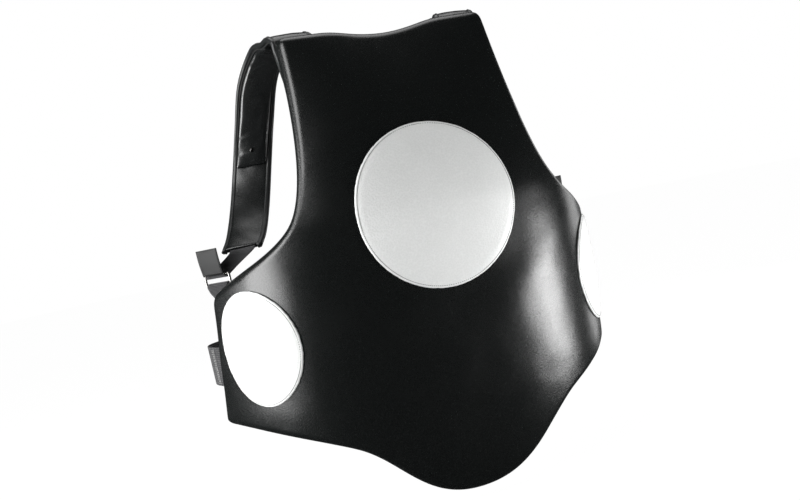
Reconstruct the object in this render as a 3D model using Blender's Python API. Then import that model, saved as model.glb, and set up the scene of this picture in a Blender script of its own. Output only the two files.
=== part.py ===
"""Trainer's padded body vest: a curved foam pad for the chest, belly and flanks with three strike discs,
two padded shoulder straps on rectangular rings, and an elastic waist belt.

Metres, +Z up. The front faces -Y, and the origin lies midway between the shoulders where the straps
rest. The wearer's right is -X. The pad is cut flat from a pattern (s across, z up) and then bent."""
import math
import bpy
import bmesh
import numpy as np
from mathutils import Vector

# Pattern of the pad, laid flat: half of it, from the centre line out
CHEST_HALF_WIDTH = 0.147
SHOULDER_Z = -0.006
NECK_DIP = 0.010
NECK_HALF_WIDTH = 0.085
ARMHOLE_S = 0.195
ARMHOLE_Z = -0.245
ARMPIT_S = 0.381
ARMPIT_Z = -0.323
FLANK_FOOT_S = 0.430
FLANK_FOOT_Z = -0.515
HEM_TURN_S = 0.165
HEM_TURN_Z = -0.556
TONGUE_Z = -0.655
CORNER_RADIUS = 0.016
NECK_PULL_S = 0.040
NECK_END_PULL = 0.030
CHEST_FLARE = 0.004
CHEST_PULL_Z = -0.100
ARMHOLE_PULL = (0.033, -0.039)
ARMPIT_PULL = (-0.081, 0.030)
FOOT_PULL = (-0.100, -0.002)
TURN_PULL = (0.065, 0.030)
HEM_SLOPE = (0.056, 0.026)
TONGUE_PULL_S = 0.084

# How the flat pattern bends round the wearer
FRONT_Y = -0.160
BEND_REACH = 0.385
BEND_DEGREES = 65.5
BEND_FLATNESS = 0.8
CHEST_BEND_SHARE = 0.82
DISC_Z = -0.260
CHEST_LEAN = 0.088
CHEST_LEAN_POWER = 1.25
TONGUE_LEAN = 0.040
GRID_S = 0.048
GRID_Z = 0.055

# Layers of the pad, from the strike face in
GAP = 0.0003
SKIN = 0.0016
RIM = 0.0020
FOAM_ROOM = 0.0008
IMPACT_FOAM = 0.0085
COMFORT_FOAM = 0.0110
LINING = 0.0014
PIPING_RADIUS = 0.0024
PIPING_CLEARANCE = 0.0008
DISC_THICKNESS = 0.0030
FRONT_DISC_RADIUS = 0.108
FLANK_DISC_RADIUS = 0.080
FLANK_DISC_S = 0.290
FLANK_DISC_Z = -0.400

# Shoulder straps
STRAP_WIDTH = 0.060
STRAP_SEAT_S = 0.116
STRAP_SEAT_ROOM = 0.0026
STRAP_SKIN = 0.0012
STRAP_FOAM = 0.0054
STRAP_GAP = 0.0006
STRAP_FOOT_TURN = math.radians(20.0)
STRAP_TURN_START = 0.25
STRAP_FOOT_Z = -0.062
STRAP_BRIM_Z = -0.016
STRAP_CREST = ((0.001, 0.004, 0.017), (0.005, 0.019, 0.026), (0.010, 0.045, 0.026))
STRAP_FALL = ((0.134, 0.040, 0.003), (0.154, 0.092, -0.032), (0.168, 0.128, -0.088), (0.185, 0.130, -0.150),
              (0.204, 0.104, -0.208), (0.221, 0.072, -0.248), (0.234, 0.054, -0.268))
SLEEVE_STATIONS = (10, 18)
LOOP_PATCH_STATIONS = (20, 23)
BINDING_WIDTH = 0.0026
SLEEVE_THICKNESS = 0.0080
SLEEVE_MARGIN = 0.0065
RIVET_RADIUS = 0.0035
RIVET_HEIGHT = 0.0012
PATCH_THICKNESS = 0.0012

# Rings, webbing and the fold-back flaps
WEBBING_WIDTH = 0.038
WEBBING = 0.0018
RING_WIRE = 0.00175
RING_SPAN = 0.0165
RING_PLAY = 0.0016
RING_SIDE_ROOM = 0.0016
RING_S = 0.410
RING_Z = -0.315
RING_STAND_OFF = 0.008
RING_CORNER = 0.004
RING_BAR_DIRECTION = (0.72, 0.69, 0.0)
WEBBING_LEAD = 0.006
WEBBING_CLEARANCE = 0.0008
FLAP_RISE = 0.001
HOOK_ROOT = 0.014
HOOK_MARGIN = 0.003
FLAP_LENGTH = 0.038
FLAP_LEAN_DEGREES = -5.0
FLAP_SKIN = 0.0016
ANCHOR_S = 0.372
ANCHOR_DROP = 0.042

# Waist belt
BELT_WIDTH = 0.060
BELT_THICKNESS = 0.0020
BELT_Z = -0.434
BELT_HINGE_S = 0.424
BELT_BACK_Y = 0.190
BELT_ANCHOR_S = 0.345
BELT_TAB_S = 0.345
PULL_TAB_LENGTH = 0.026
PULL_TAB_MARGIN = 0.010
BELT_CLEARANCE = 0.0014
BELT_LEAD = 0.034
BELT_BULGE = 0.090
BELT_RUN_OUT = 0.140
BELT_BACK_REACH = 0.200
BELT_PEEL_GAP = 0.0004

PAD_DEPTH = SKIN + IMPACT_FOAM + COMFORT_FOAM + 3 * GAP
LINING_BACK = PAD_DEPTH + GAP + LINING
PIPING_DEPTH = PAD_DEPTH + PIPING_CLEARANCE + PIPING_RADIUS
PIPING_INSET = PIPING_RADIUS + GAP
PAD_BACK = PIPING_DEPTH + PIPING_RADIUS
STRAP_HALF = STRAP_FOAM / 2 + STRAP_GAP + STRAP_SKIN


# ---------------------------------------------------------------- materials and objects

def material(name, colour, roughness, metallic=0.0):
    """A Principled material with one colour and finish."""
    made = bpy.data.materials.new(name)
    made.use_nodes = True
    shader = made.node_tree.nodes["Principled BSDF"]
    shader.inputs["Base Color"].default_value = (*colour, 1.0)
    shader.inputs["Roughness"].default_value = roughness
    shader.inputs["Metallic"].default_value = metallic
    return made


def make_materials():
    """The vest's finishes by name."""
    return {
        "leather": material("black_leather", (0.012, 0.014, 0.014), 0.38),
        "lining": material("black_lining", (0.016, 0.017, 0.018), 0.62),
        "disc": material("silver_leather", (0.72, 0.72, 0.70), 0.34),
        "foam": material("dense_foam", (0.05, 0.05, 0.05), 0.9),
        "soft_foam": material("soft_foam", (0.42, 0.41, 0.38), 0.95),
        "webbing": material("black_webbing", (0.015, 0.015, 0.016), 0.7),
        "hook": material("hook_and_loop", (0.01, 0.01, 0.01), 0.95),
        "steel": material("nickel_steel", (0.75, 0.75, 0.74), 0.22, 1.0),
    }


def place(name, mesh_data, finish, origin=(0.0, 0.0, 0.0)):
    """Turn a bmesh in world coordinates into a named object whose origin is at origin."""
    bmesh.ops.remove_doubles(mesh_data, verts=mesh_data.verts, dist=1e-6)
    bmesh.ops.recalc_face_normals(mesh_data, faces=mesh_data.faces)
    bmesh.ops.translate(mesh_data, verts=mesh_data.verts, vec=-Vector(origin))
    mesh = bpy.data.meshes.new(name)
    mesh_data.to_mesh(mesh)
    mesh_data.free()
    mesh.materials.append(finish)
    obj = bpy.data.objects.new(name, mesh)
    obj.location = origin
    bpy.context.scene.collection.objects.link(obj)
    return obj


def bezier(start, pull_start, pull_end, end, steps):
    """Points of a cubic Bezier curve, both ends included."""
    corners = [np.array(point, float) for point in (start, pull_start, pull_end, end)]
    points = []
    for step in range(steps + 1):
        t = step / steps
        weights = ((1 - t) ** 3, 3 * t * (1 - t) ** 2, 3 * t * t * (1 - t), t ** 3)
        points.append(sum(weight * corner for weight, corner in zip(weights, corners)))
    return points


# ---------------------------------------------------------------- pattern of the pad

def rounded(before, corner, after, radius=CORNER_RADIUS, steps=3):
    """A soft corner between two edges, as points of a quadratic curve."""
    before, corner, after = (np.array(point, float) for point in (before, corner, after))
    start = corner + (before - corner) / np.linalg.norm(before - corner) * radius
    end = corner + (after - corner) / np.linalg.norm(after - corner) * radius
    curve = []
    for step in range(steps + 1):
        t = step / steps
        curve.append((1 - t) ** 2 * start + 2 * t * (1 - t) * corner + t * t * end)
    return curve


def half_edges():
    """The edges of the pattern's right half as point lists, from the neck to the tongue."""
    shoulder = (CHEST_HALF_WIDTH, SHOULDER_Z)
    armpit = (ARMPIT_S, ARMPIT_Z)
    foot = (FLANK_FOOT_S, FLANK_FOOT_Z)
    waist = (ARMHOLE_S, ARMHOLE_Z)
    turn = (HEM_TURN_S, HEM_TURN_Z)
    steep = np.array(ARMHOLE_PULL)
    upper = bezier(shoulder, (CHEST_HALF_WIDTH + CHEST_FLARE, CHEST_PULL_Z), waist - steep, waist, 5)
    lower = bezier(waist, waist + steep, np.add(armpit, ARMPIT_PULL), armpit, 6)
    hem = bezier(foot, np.add(foot, FOOT_PULL), np.add(turn, TURN_PULL), turn, 5)
    tongue = bezier(turn, turn - np.array(HEM_SLOPE), (TONGUE_PULL_S, TONGUE_Z), (0.0, TONGUE_Z), 6)
    neck_end = (NECK_HALF_WIDTH, SHOULDER_Z)
    neck = bezier((0.0, SHOULDER_Z - NECK_DIP), (NECK_PULL_S, SHOULDER_Z - NECK_DIP),
                  (NECK_HALF_WIDTH - NECK_END_PULL, SHOULDER_Z), neck_end, 3)
    shoulder_turn = rounded(neck_end, shoulder, upper[1])
    armpit_turn = rounded(lower[-2], armpit, foot)
    foot_turn = rounded(armpit, foot, hem[1])
    return {
        "neck": neck + shoulder_turn[:2],
        "armhole": shoulder_turn[1:] + upper[1:] + lower[1:-1] + armpit_turn[:2],
        "rear": armpit_turn[1:] + foot_turn[:3],
        "hem": foot_turn[2:] + hem[1:] + tongue[1:],
    }


def pattern_outline():
    """The whole closed outline, symmetric about the centre line."""
    edges = half_edges()
    right = []
    for edge in edges.values():
        right += [point for point in edge if not right or np.linalg.norm(point - right[-1]) > 1e-6]
    left = [point * (-1, 1) for point in right[-2:0:-1]]
    return right + left


def inset(points, distance, closed=True):
    """Move an outline inwards by a distance, along the bisector at each point."""
    count = len(points)
    moved = []
    for index, point in enumerate(points):
        before = points[index - 1] if closed or index else None
        after = points[(index + 1) % count] if closed or index < count - 1 else None
        normals = []
        for start, end in ((before, point), (point, after)):
            if start is not None and end is not None:
                run = (end - start) / np.linalg.norm(end - start)
                normals.append(np.array((run[1], -run[0])))
        bisector = sum(normals)
        bisector /= np.linalg.norm(bisector)
        moved.append(point + bisector * distance / float(bisector @ normals[0]))
    return moved


# ---------------------------------------------------------------- the bend of the pad

def heading(s, z):
    """How far the surface has turned from facing front, at a distance s from the centre line."""
    t = s / BEND_REACH
    turned = (1 - BEND_FLATNESS) * t + BEND_FLATNESS * (t - np.sin(2 * np.pi * t) / (2 * np.pi))
    rise = np.clip((z - FLANK_DISC_Z) / (SHOULDER_Z - FLANK_DISC_Z), 0, 1)
    return math.radians(BEND_DEGREES) * turned * (1 - (1 - CHEST_BEND_SHARE) * rise ** 2)


def strike_face(s, z, steps=48):
    """A point of the outer face for s >= 0."""
    run = np.linspace(0.0, s, steps + 1)
    angles = heading((run[1:] + run[:-1]) / 2, z)
    x = float(np.sum(np.cos(angles)) * s / steps)
    y = float(np.sum(np.sin(angles)) * s / steps)
    above = max(z - DISC_Z, 0.0) / (SHOULDER_Z - DISC_Z)
    below = max(DISC_Z - z, 0.0) / (DISC_Z - TONGUE_Z)
    lean = CHEST_LEAN * above ** CHEST_LEAN_POWER + TONGUE_LEAN * below ** 2
    fade = 1 - min(s / BEND_REACH, 1.0) ** 1.5
    return np.array((x, FRONT_Y + y + lean * fade, z))


def bend_grid():
    """Points and outward normals of the outer face at the corners of the bending grid."""
    columns = math.ceil((max(FLANK_FOOT_S, RING_S) + 0.03) / GRID_S) + 1
    rows = math.ceil((0.05 - TONGUE_Z) / GRID_Z) + 1
    points = np.zeros((columns, rows, 3))
    normals = np.zeros((columns, rows, 3))
    nudge = 0.001
    for column in range(columns):
        for row in range(rows):
            s, z = column * GRID_S, -row * GRID_Z + GRID_Z
            points[column, row] = strike_face(s, z)
            across = strike_face(s + nudge, z) - strike_face(max(s - nudge, 0.0), z)
            across = across * (1, 1 if column else 0, 1)
            down = strike_face(s, z - nudge) - strike_face(s, z + nudge)
            normal = np.cross(across, down)
            normals[column, row] = normal / np.linalg.norm(normal)
    if normals[0, 1][1] > 0:
        normals = -normals
    return points, normals


GRID_POINTS, GRID_NORMALS = bend_grid()


def between_corners(values, s, z):
    """Read a grid quantity at (|s|, z), linear over each grid triangle."""
    across, down = abs(s) / GRID_S, (GRID_Z - z) / GRID_Z
    column = min(int(across), values.shape[0] - 2)
    row = min(max(int(down), 0), values.shape[1] - 2)
    u, v = across - column, down - row
    near, far = values[column, row], values[column + 1, row + 1]
    corner = values[column + 1, row] if u >= v else values[column, row + 1]
    if u >= v:
        return near + (corner - near) * u + (far - corner) * v
    return near + (corner - near) * v + (far - corner) * u


def on_pad(s, z, depth):
    """The point at pattern place (s, z), a depth below the strike face."""
    point = between_corners(GRID_POINTS, s, z) - between_corners(GRID_NORMALS, s, z) * depth
    side = -1 if s < 0 else 1
    return Vector((point[0] * side, point[1], point[2]))


def cut_along_grid(flat):
    """Cut a flat-pattern mesh along the grid's lines and diagonals, so that it bends in plain facets."""
    def cut(faces, origin, normal):
        parts = set(faces)
        for face in faces:
            parts.update(face.edges)
            parts.update(face.verts)
        bmesh.ops.bisect_plane(flat, geom=list(parts), dist=1e-7, plane_co=origin, plane_no=normal)

    columns, rows = GRID_POINTS.shape[:2]
    for column in range(-columns, columns + 1):
        cut(flat.faces[:], (column * GRID_S, 0, 0), (1, 0, 0))
    for row in range(rows):
        cut(flat.faces[:], (0, 0, GRID_Z - row * GRID_Z), (0, 0, 1))
    for side in (-1, 1):
        for step in range(-rows, columns + 1):
            half = [face for face in flat.faces if face.calc_center_median().x * side > 0]
            if half:
                cut(half, (side * step * GRID_S, 0, GRID_Z), (side * GRID_Z, 0, GRID_S))


def bend(flat):
    """Bend a flat-pattern mesh (s, depth, z) into the pad's shape."""
    for vertex in flat.verts:
        vertex.co = on_pad(vertex.co.x, vertex.co.z, vertex.co.y)


def flat_slab(outline, shallow, deep):
    """A slab in pattern space between two depths."""
    flat = bmesh.new()
    corners = [flat.verts.new((s, shallow, z)) for s, z in outline]
    face = flat.faces.new(corners)
    grown = bmesh.ops.extrude_face_region(flat, geom=[face])
    top = [item for item in grown["geom"] if isinstance(item, bmesh.types.BMVert)]
    bmesh.ops.translate(flat, verts=top, vec=(0, deep - shallow, 0))
    return flat


def pad_sheet(name, outline, shallow, deep, finish, origin=(0.0, 0.0, 0.0)):
    """One bent layer of the pad."""
    flat = flat_slab(outline, shallow, deep)
    cut_along_grid(flat)
    bend(flat)
    return place(name, flat, finish, origin)


def outer_cover(outline, finish):
    """The leather cover: the strike face with its edge rolled round the foam, open at the back."""
    flat = flat_slab(outline, 0.0, PAD_DEPTH)
    back = max(flat.faces, key=lambda face: face.calc_center_median().y)
    bmesh.ops.inset_region(flat, faces=[back], thickness=RIM, use_even_offset=True)
    grown = bmesh.ops.extrude_face_region(flat, geom=[back])
    floor = [item for item in grown["geom"] if isinstance(item, bmesh.types.BMVert)]
    bmesh.ops.delete(flat, geom=[back], context="FACES_ONLY")
    bmesh.ops.translate(flat, verts=floor, vec=(0, SKIN - PAD_DEPTH, 0))
    cut_along_grid(flat)
    bend(flat)
    return place("outer_cover", flat, finish)


def disc_outline(s, z, radius, sides=36):
    """A circle in the pattern."""
    turns = [2 * math.pi * step / sides for step in range(sides)]
    return [np.array((s + radius * math.cos(turn), z + radius * math.sin(turn))) for turn in turns]


def piping(name, edge, side, finish):
    """A round cord along one edge of the pad, behind the rim."""
    path = [on_pad(side * s, z, PIPING_DEPTH) for s, z in edge]
    return tube(name, path, PIPING_RADIUS, finish)


def tube(name, path, radius, finish, closed=False, sides=2):
    """A round bar along a list of points."""
    curve = bpy.data.curves.new(name, "CURVE")
    curve.dimensions = "3D"
    curve.bevel_depth = radius
    curve.bevel_resolution = sides
    curve.use_fill_caps = True
    spline = curve.splines.new("POLY")
    spline.points.add(len(path) - 1)
    for point, place_at in zip(spline.points, path):
        point.co = (*place_at, 1.0)
    spline.use_cyclic_u = closed
    spline.use_smooth = True
    curve.materials.append(finish)
    obj = bpy.data.objects.new(name, curve)
    bpy.context.scene.collection.objects.link(obj)
    return obj


def trimmed(points, amount):
    """An open outline shortened at both ends, so that neighbours don't touch."""
    points = [np.array(point) for point in points]
    for end, inner in ((0, 1), (-1, -2)):
        run = points[inner] - points[end]
        points[end] = points[end] + run / np.linalg.norm(run) * amount
    return points


def make_pad(finishes):
    """The pad's layers, discs and piping."""
    outline = pattern_outline()
    inner = inset(outline, RIM + FOAM_ROOM)
    impact_back = SKIN + GAP + IMPACT_FOAM
    outer_cover(outline, finishes["leather"])
    pad_sheet("impact_foam", inner, SKIN + GAP, impact_back, finishes["foam"])
    pad_sheet("comfort_foam", inner, impact_back + GAP, PAD_DEPTH - GAP, finishes["soft_foam"])
    lining_edge = inset(outline, PIPING_INSET + PIPING_RADIUS + PIPING_CLEARANCE)
    pad_sheet("inner_lining", lining_edge, PAD_DEPTH + GAP, LINING_BACK, finishes["lining"])

    discs = {
        "front_disc": disc_outline(0.0, DISC_Z, FRONT_DISC_RADIUS),
        "left_flank_disc": disc_outline(FLANK_DISC_S, FLANK_DISC_Z, FLANK_DISC_RADIUS),
        "right_flank_disc": disc_outline(-FLANK_DISC_S, FLANK_DISC_Z, FLANK_DISC_RADIUS),
    }
    for name, circle in discs.items():
        pad_sheet(name, circle, -GAP - DISC_THICKNESS, -GAP, finishes["disc"])

    edges = half_edges()
    for name in ("armhole", "rear"):
        edge = trimmed(inset(edges[name], PIPING_INSET, closed=False), PIPING_RADIUS)
        for word, side in (("left", 1), ("right", -1)):
            piping(f"{word}_{name}_piping", edge, side, finishes["leather"])
    neck = inset(edges["neck"], PIPING_INSET, closed=False)
    whole_neck = [point * (-1, 1) for point in neck[:0:-1]] + neck
    piping("neck_piping", trimmed(whole_neck, PIPING_RADIUS), 1, finishes["leather"])
    hem = inset(edges["hem"], PIPING_INSET, closed=False)
    whole_hem = hem + [point * (-1, 1) for point in hem[-2::-1]]
    piping("hem_piping", trimmed(whole_hem, PIPING_RADIUS), 1, finishes["leather"])


# ---------------------------------------------------------------- straps

class Strip:
    """A flat strip: stations of (centre, width direction), with the outer side along width x run."""

    def __init__(self, centres, widths):
        self.centres = [Vector(centre) for centre in centres]
        self.widths = [Vector(width).normalized() for width in widths]
        self.outs = []
        last = len(self.centres) - 1
        for index, width in enumerate(self.widths):
            run = self.centres[min(index + 1, last)] - self.centres[max(index - 1, 0)]
            self.outs.append(width.cross(run).normalized())

    def at(self, index, across, out):
        """A point of one station."""
        return self.centres[index] + self.widths[index] * across + self.outs[index] * out

    def part(self, first, last):
        """The stretch from one station to another."""
        piece = Strip.__new__(Strip)
        piece.centres = self.centres[first:last + 1]
        piece.widths = self.widths[first:last + 1]
        piece.outs = self.outs[first:last + 1]
        return piece


def swept_box(strip, across, out):
    """A bar along a strip, between two places across it and two heights."""
    swept = bmesh.new()
    section = [(across[0], out[0]), (across[1], out[0]), (across[1], out[1]), (across[0], out[1])]
    ring = [swept.verts.new(strip.at(0, *corner)) for corner in section]
    swept.faces.new(ring[::-1])
    for index in range(1, len(strip.centres)):
        ahead = [swept.verts.new(strip.at(index, *corner)) for corner in section]
        for step in range(4):
            after = (step + 1) % 4
            swept.faces.new((ring[step], ring[after], ahead[after], ahead[step]))
        ring = ahead
    swept.faces.new(ring)
    return swept


def mirrored(mesh_data, side):
    """Move a mesh built for the left (+X) side to its own side."""
    for vertex in mesh_data.verts:
        vertex.co.x *= side
    return mesh_data


def smooth_path(points, steps):
    """A smooth curve through points (Catmull-Rom), with a number of steps for each span."""
    points = [np.array(point, float) for point in points]
    padded = [2 * points[0] - points[1]] + points + [2 * points[-1] - points[-2]]
    path = []
    for index in range(1, len(padded) - 2):
        a, b, c, d = padded[index - 1:index + 3]
        for step in range(steps):
            t = step / steps
            path.append(0.5 * (2 * b + (c - a) * t + (2 * a - 5 * b + 4 * c - d) * t * t
                               + (3 * b - a - 3 * c + d) * t ** 3))
    return path + [points[-1]]


def strap_strip():
    """The shoulder strap of the left side: from behind the chest, over the shoulder, down to the ring."""
    seat_depth = PAD_BACK + STRAP_SEAT_ROOM + STRAP_HALF
    foot = on_pad(STRAP_SEAT_S, STRAP_FOOT_Z, seat_depth)
    brim = on_pad(STRAP_SEAT_S, STRAP_BRIM_Z, seat_depth)
    crest = [brim + Vector(step) for step in STRAP_CREST]
    points = [foot, (foot + brim) / 2, brim, *crest, *STRAP_FALL]
    centres = smooth_path(points, 2)
    widths = []
    reach = STRAP_WIDTH / 2
    seat_run = (on_pad(STRAP_SEAT_S + reach, SHOULDER_Z, seat_depth)
                - on_pad(STRAP_SEAT_S - reach, SHOULDER_Z, seat_depth))
    seat_turn = math.atan2(seat_run.y, seat_run.x)
    for index in range(len(centres)):
        share = index / (len(centres) - 1)
        turned = max(share - STRAP_TURN_START, 0.0) / (1 - STRAP_TURN_START)
        turn = seat_turn + (STRAP_FOOT_TURN - seat_turn) * turned
        widths.append((math.cos(turn), math.sin(turn), 0.0))
    return Strip(centres, widths)


def ring_frame():
    """Place and directions of the left ring: centre, bar direction, inward direction."""
    bar = Vector(RING_BAR_DIRECTION).normalized()
    inward = Vector((-bar.y, bar.x, 0.0))
    centre = on_pad(RING_S, RING_Z, PAD_BACK + RING_STAND_OFF) + Vector((0, 0, RING_SPAN / 2))
    return centre, bar, inward


def arc(centre, inward, start, end, radius, steps):
    """Points round a bar: 0 degrees lies inwards and 90 degrees lies up."""
    points = []
    for step in range(steps + 1):
        turn = math.radians(start + (end - start) * step / steps)
        points.append(centre + inward * radius * math.cos(turn) + Vector((0, 0, radius * math.sin(turn))))
    return points


def make_ring(word, side, finishes):
    """The rectangular steel ring between the anchor and the strap's webbing."""
    centre, bar, _ = ring_frame()
    half_length = WEBBING_WIDTH / 2 + RING_SIDE_ROOM + RING_WIRE
    half_height = RING_SPAN / 2
    path = []
    for quarter in range(4):
        across = half_length - RING_CORNER if quarter in (0, 3) else RING_CORNER - half_length
        up = half_height - RING_CORNER if quarter in (0, 1) else RING_CORNER - half_height
        for step in range(4):
            turn = math.radians(90 * quarter + 30 * step)
            point = centre + bar * (across + RING_CORNER * math.cos(turn))
            point = point + Vector((0, 0, up + RING_CORNER * math.sin(turn)))
            path.append((point.x * side, point.y, point.z))
    pivot = centre - Vector((0, 0, RING_SPAN / 2))
    ring = tube(f"{word}_ring", path, RING_WIRE, finishes["steel"], closed=True)
    set_origin(ring, (pivot.x * side, pivot.y, pivot.z))


def set_origin(curve_object, origin):
    """Move a curve object's origin without moving the curve."""
    for point in curve_object.data.splines[0].points:
        point.co = (*(point.co.to_3d() - Vector(origin)), 1.0)
    curve_object.location = origin


def make_anchor(word, side, finishes):
    """The webbing that holds the ring to the flank: up behind the pad, round the lower bar and back."""
    centre, bar, inward = ring_frame()
    lower = centre - Vector((0, 0, RING_SPAN / 2))
    radius = RING_WIRE + RING_PLAY + WEBBING / 2
    outer_depth = PAD_BACK + GAP + WEBBING / 2
    seat = on_pad(ANCHOR_S, RING_Z - ANCHOR_DROP, outer_depth)
    ply_step = on_pad(ANCHOR_S, RING_Z - ANCHOR_DROP, outer_depth + WEBBING + 2 * GAP) - seat
    loop = arc(lower, inward, 180, 0, radius, 6)
    shares = [0.0, 0.25, 0.5, 0.75]
    rising = [seat.lerp(loop[0], share) for share in shares]
    falling = [point + ply_step * (1 + 2 * share) for point, share in zip(rising, shares)]
    centres = rising + loop + falling[::-1]
    tangent = (on_pad(ANCHOR_S + 0.01, RING_Z - ANCHOR_DROP, outer_depth) - seat).normalized()
    blend = shares + [1.0] * len(loop) + shares[::-1]
    widths = [tangent.lerp(bar, share) for share in blend]
    strip = Strip(centres, widths)
    half = WEBBING_WIDTH / 2
    webbing = swept_box(strip, (-half, half), (-WEBBING / 2, WEBBING / 2))
    place(f"{word}_ring_anchor", mirrored(webbing, side), finishes["webbing"])


def flap_directions():
    """The fold-back flap's own up and outward directions on the left side."""
    _, _, inward = ring_frame()
    lean = math.radians(FLAP_LEAN_DEGREES)
    up = inward * math.sin(lean) + Vector((0, 0, math.cos(lean)))
    outward = Vector((0, 0, math.sin(lean))) - inward * math.cos(lean)
    return up, outward


def make_webbing(word, side, finishes, strap):
    """The strap's webbing: out of the strap's end, down to the ring and round its upper bar."""
    centre, bar, inward = ring_frame()
    upper = centre + Vector((0, 0, RING_SPAN / 2))
    radius = RING_WIRE + RING_PLAY + WEBBING / 2
    end = strap.centres[-1]
    run = (strap.centres[-1] - strap.centres[-2]).normalized()
    start = end + run * WEBBING_CLEARANCE
    loop = arc(upper, inward, -45, -178, radius, 6)
    bend_at = start + run * WEBBING_LEAD
    lead = smooth_path([start, bend_at, bend_at.lerp(loop[0], 0.5), loop[0]], 3)[:-1]
    centres = lead + loop
    widths = [strap.widths[-1].lerp(bar, min(step / len(lead), 1.0)) for step in range(len(centres))]
    half = WEBBING_WIDTH / 2
    webbing = swept_box(Strip(centres, widths), (-half, half), (-WEBBING / 2, WEBBING / 2))
    place(f"{word}_strap_webbing", mirrored(webbing, side), finishes["webbing"])

    up, outward = flap_directions()
    flap_root = upper + outward * (radius + WEBBING / 2 + GAP * 2) + up * FLAP_RISE
    flap = Strip([flap_root, flap_root + up * FLAP_LENGTH], [bar, bar])
    sign = 1 if flap.outs[0].dot(outward) > 0 else -1
    pivot = (upper.x * side, upper.y, upper.z)
    skin = sorted((0.0, sign * FLAP_SKIN))
    body = swept_box(flap, (-half, half), skin)
    place(f"{word}_flap", mirrored(body, side), finishes["leather"], pivot)
    patch = Strip([flap_root + up * HOOK_ROOT, flap_root + up * (FLAP_LENGTH - HOOK_MARGIN)], [bar, bar])
    hook = sorted((-sign * GAP, -sign * (GAP + PATCH_THICKNESS)))
    body = swept_box(patch, (HOOK_MARGIN - half, half - HOOK_MARGIN), hook)
    place(f"{word}_flap_hook", mirrored(body, side), finishes["hook"], pivot)


def make_strap(word, side, finishes):
    """One shoulder strap with its layers, sleeve, rivet, ring, webbing and flap."""
    strap = strap_strip()
    half = STRAP_WIDTH / 2
    inner = half - BINDING_WIDTH - STRAP_GAP
    foam = STRAP_FOAM / 2
    layers = {
        "strap_cover": (foam + STRAP_GAP, STRAP_HALF, "leather"),
        "strap_foam": (-foam, foam, "soft_foam"),
        "strap_lining": (-STRAP_HALF, -foam - STRAP_GAP, "lining"),
    }
    for name, (low, high, finish) in layers.items():
        body = swept_box(strap, (-inner, inner), (low, high))
        place(f"{word}_{name}", mirrored(body, side), finishes[finish])
    for name, across in (("outer", (half - BINDING_WIDTH, half)), ("inner", (-half, BINDING_WIDTH - half))):
        body = swept_box(strap, across, (-STRAP_HALF, STRAP_HALF))
        place(f"{word}_strap_{name}_binding", mirrored(body, side), finishes["leather"])

    first, last = SLEEVE_STATIONS
    sleeve = strap.part(first, last)
    reach = half - SLEEVE_MARGIN
    under = -STRAP_HALF - GAP
    body = swept_box(sleeve, (-reach, reach), (under - SLEEVE_THICKNESS, under))
    place(f"{word}_shoulder_sleeve", mirrored(body, side), finishes["leather"])
    rivet = bmesh.new()
    bmesh.ops.create_cone(rivet, cap_ends=True, segments=12, radius1=RIVET_RADIUS,
                          radius2=RIVET_RADIUS * 0.7, depth=RIVET_HEIGHT)
    spot = (strap.at(last - 1, 0, 0) + strap.at(last, 0, 0)) / 2
    out = (strap.outs[last - 1] + strap.outs[last]).normalized()
    seat = spot - out * (STRAP_HALF + GAP + SLEEVE_THICKNESS + GAP + RIVET_HEIGHT / 2)
    turn = Vector((0, 0, 1)).rotation_difference(-out)
    bmesh.ops.rotate(rivet, verts=rivet.verts, matrix=turn.to_matrix())
    bmesh.ops.translate(rivet, verts=rivet.verts, vec=seat)
    place(f"{word}_sleeve_rivet", mirrored(rivet, side), finishes["steel"])

    loop = strap.part(*LOOP_PATCH_STATIONS)
    over = STRAP_HALF + GAP
    body = swept_box(loop, (-WEBBING_WIDTH / 2, WEBBING_WIDTH / 2), (over, over + PATCH_THICKNESS))
    place(f"{word}_strap_loop_patch", mirrored(body, side), finishes["hook"])

    make_ring(word, side, finishes)
    make_anchor(word, side, finishes)
    make_webbing(word, side, finishes, strap)


# ---------------------------------------------------------------- waist belt

def upright_strip(points):
    """A strip that stands on edge along points at the belt's height, its outer side away from the wearer."""
    centres = [(x, y, BELT_Z) for x, y in points]
    return Strip(centres, [(0, 0, 1)] * len(centres))


def belt_patch(side, first, last, half=BELT_WIDTH / 2):
    """A rectangle of the pattern on one flank, at the belt's height."""
    corners = [(first, -half), (last, -half), (last, half), (first, half)]
    return [np.array((side * s, BELT_Z + up)) for s, up in corners]


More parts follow.
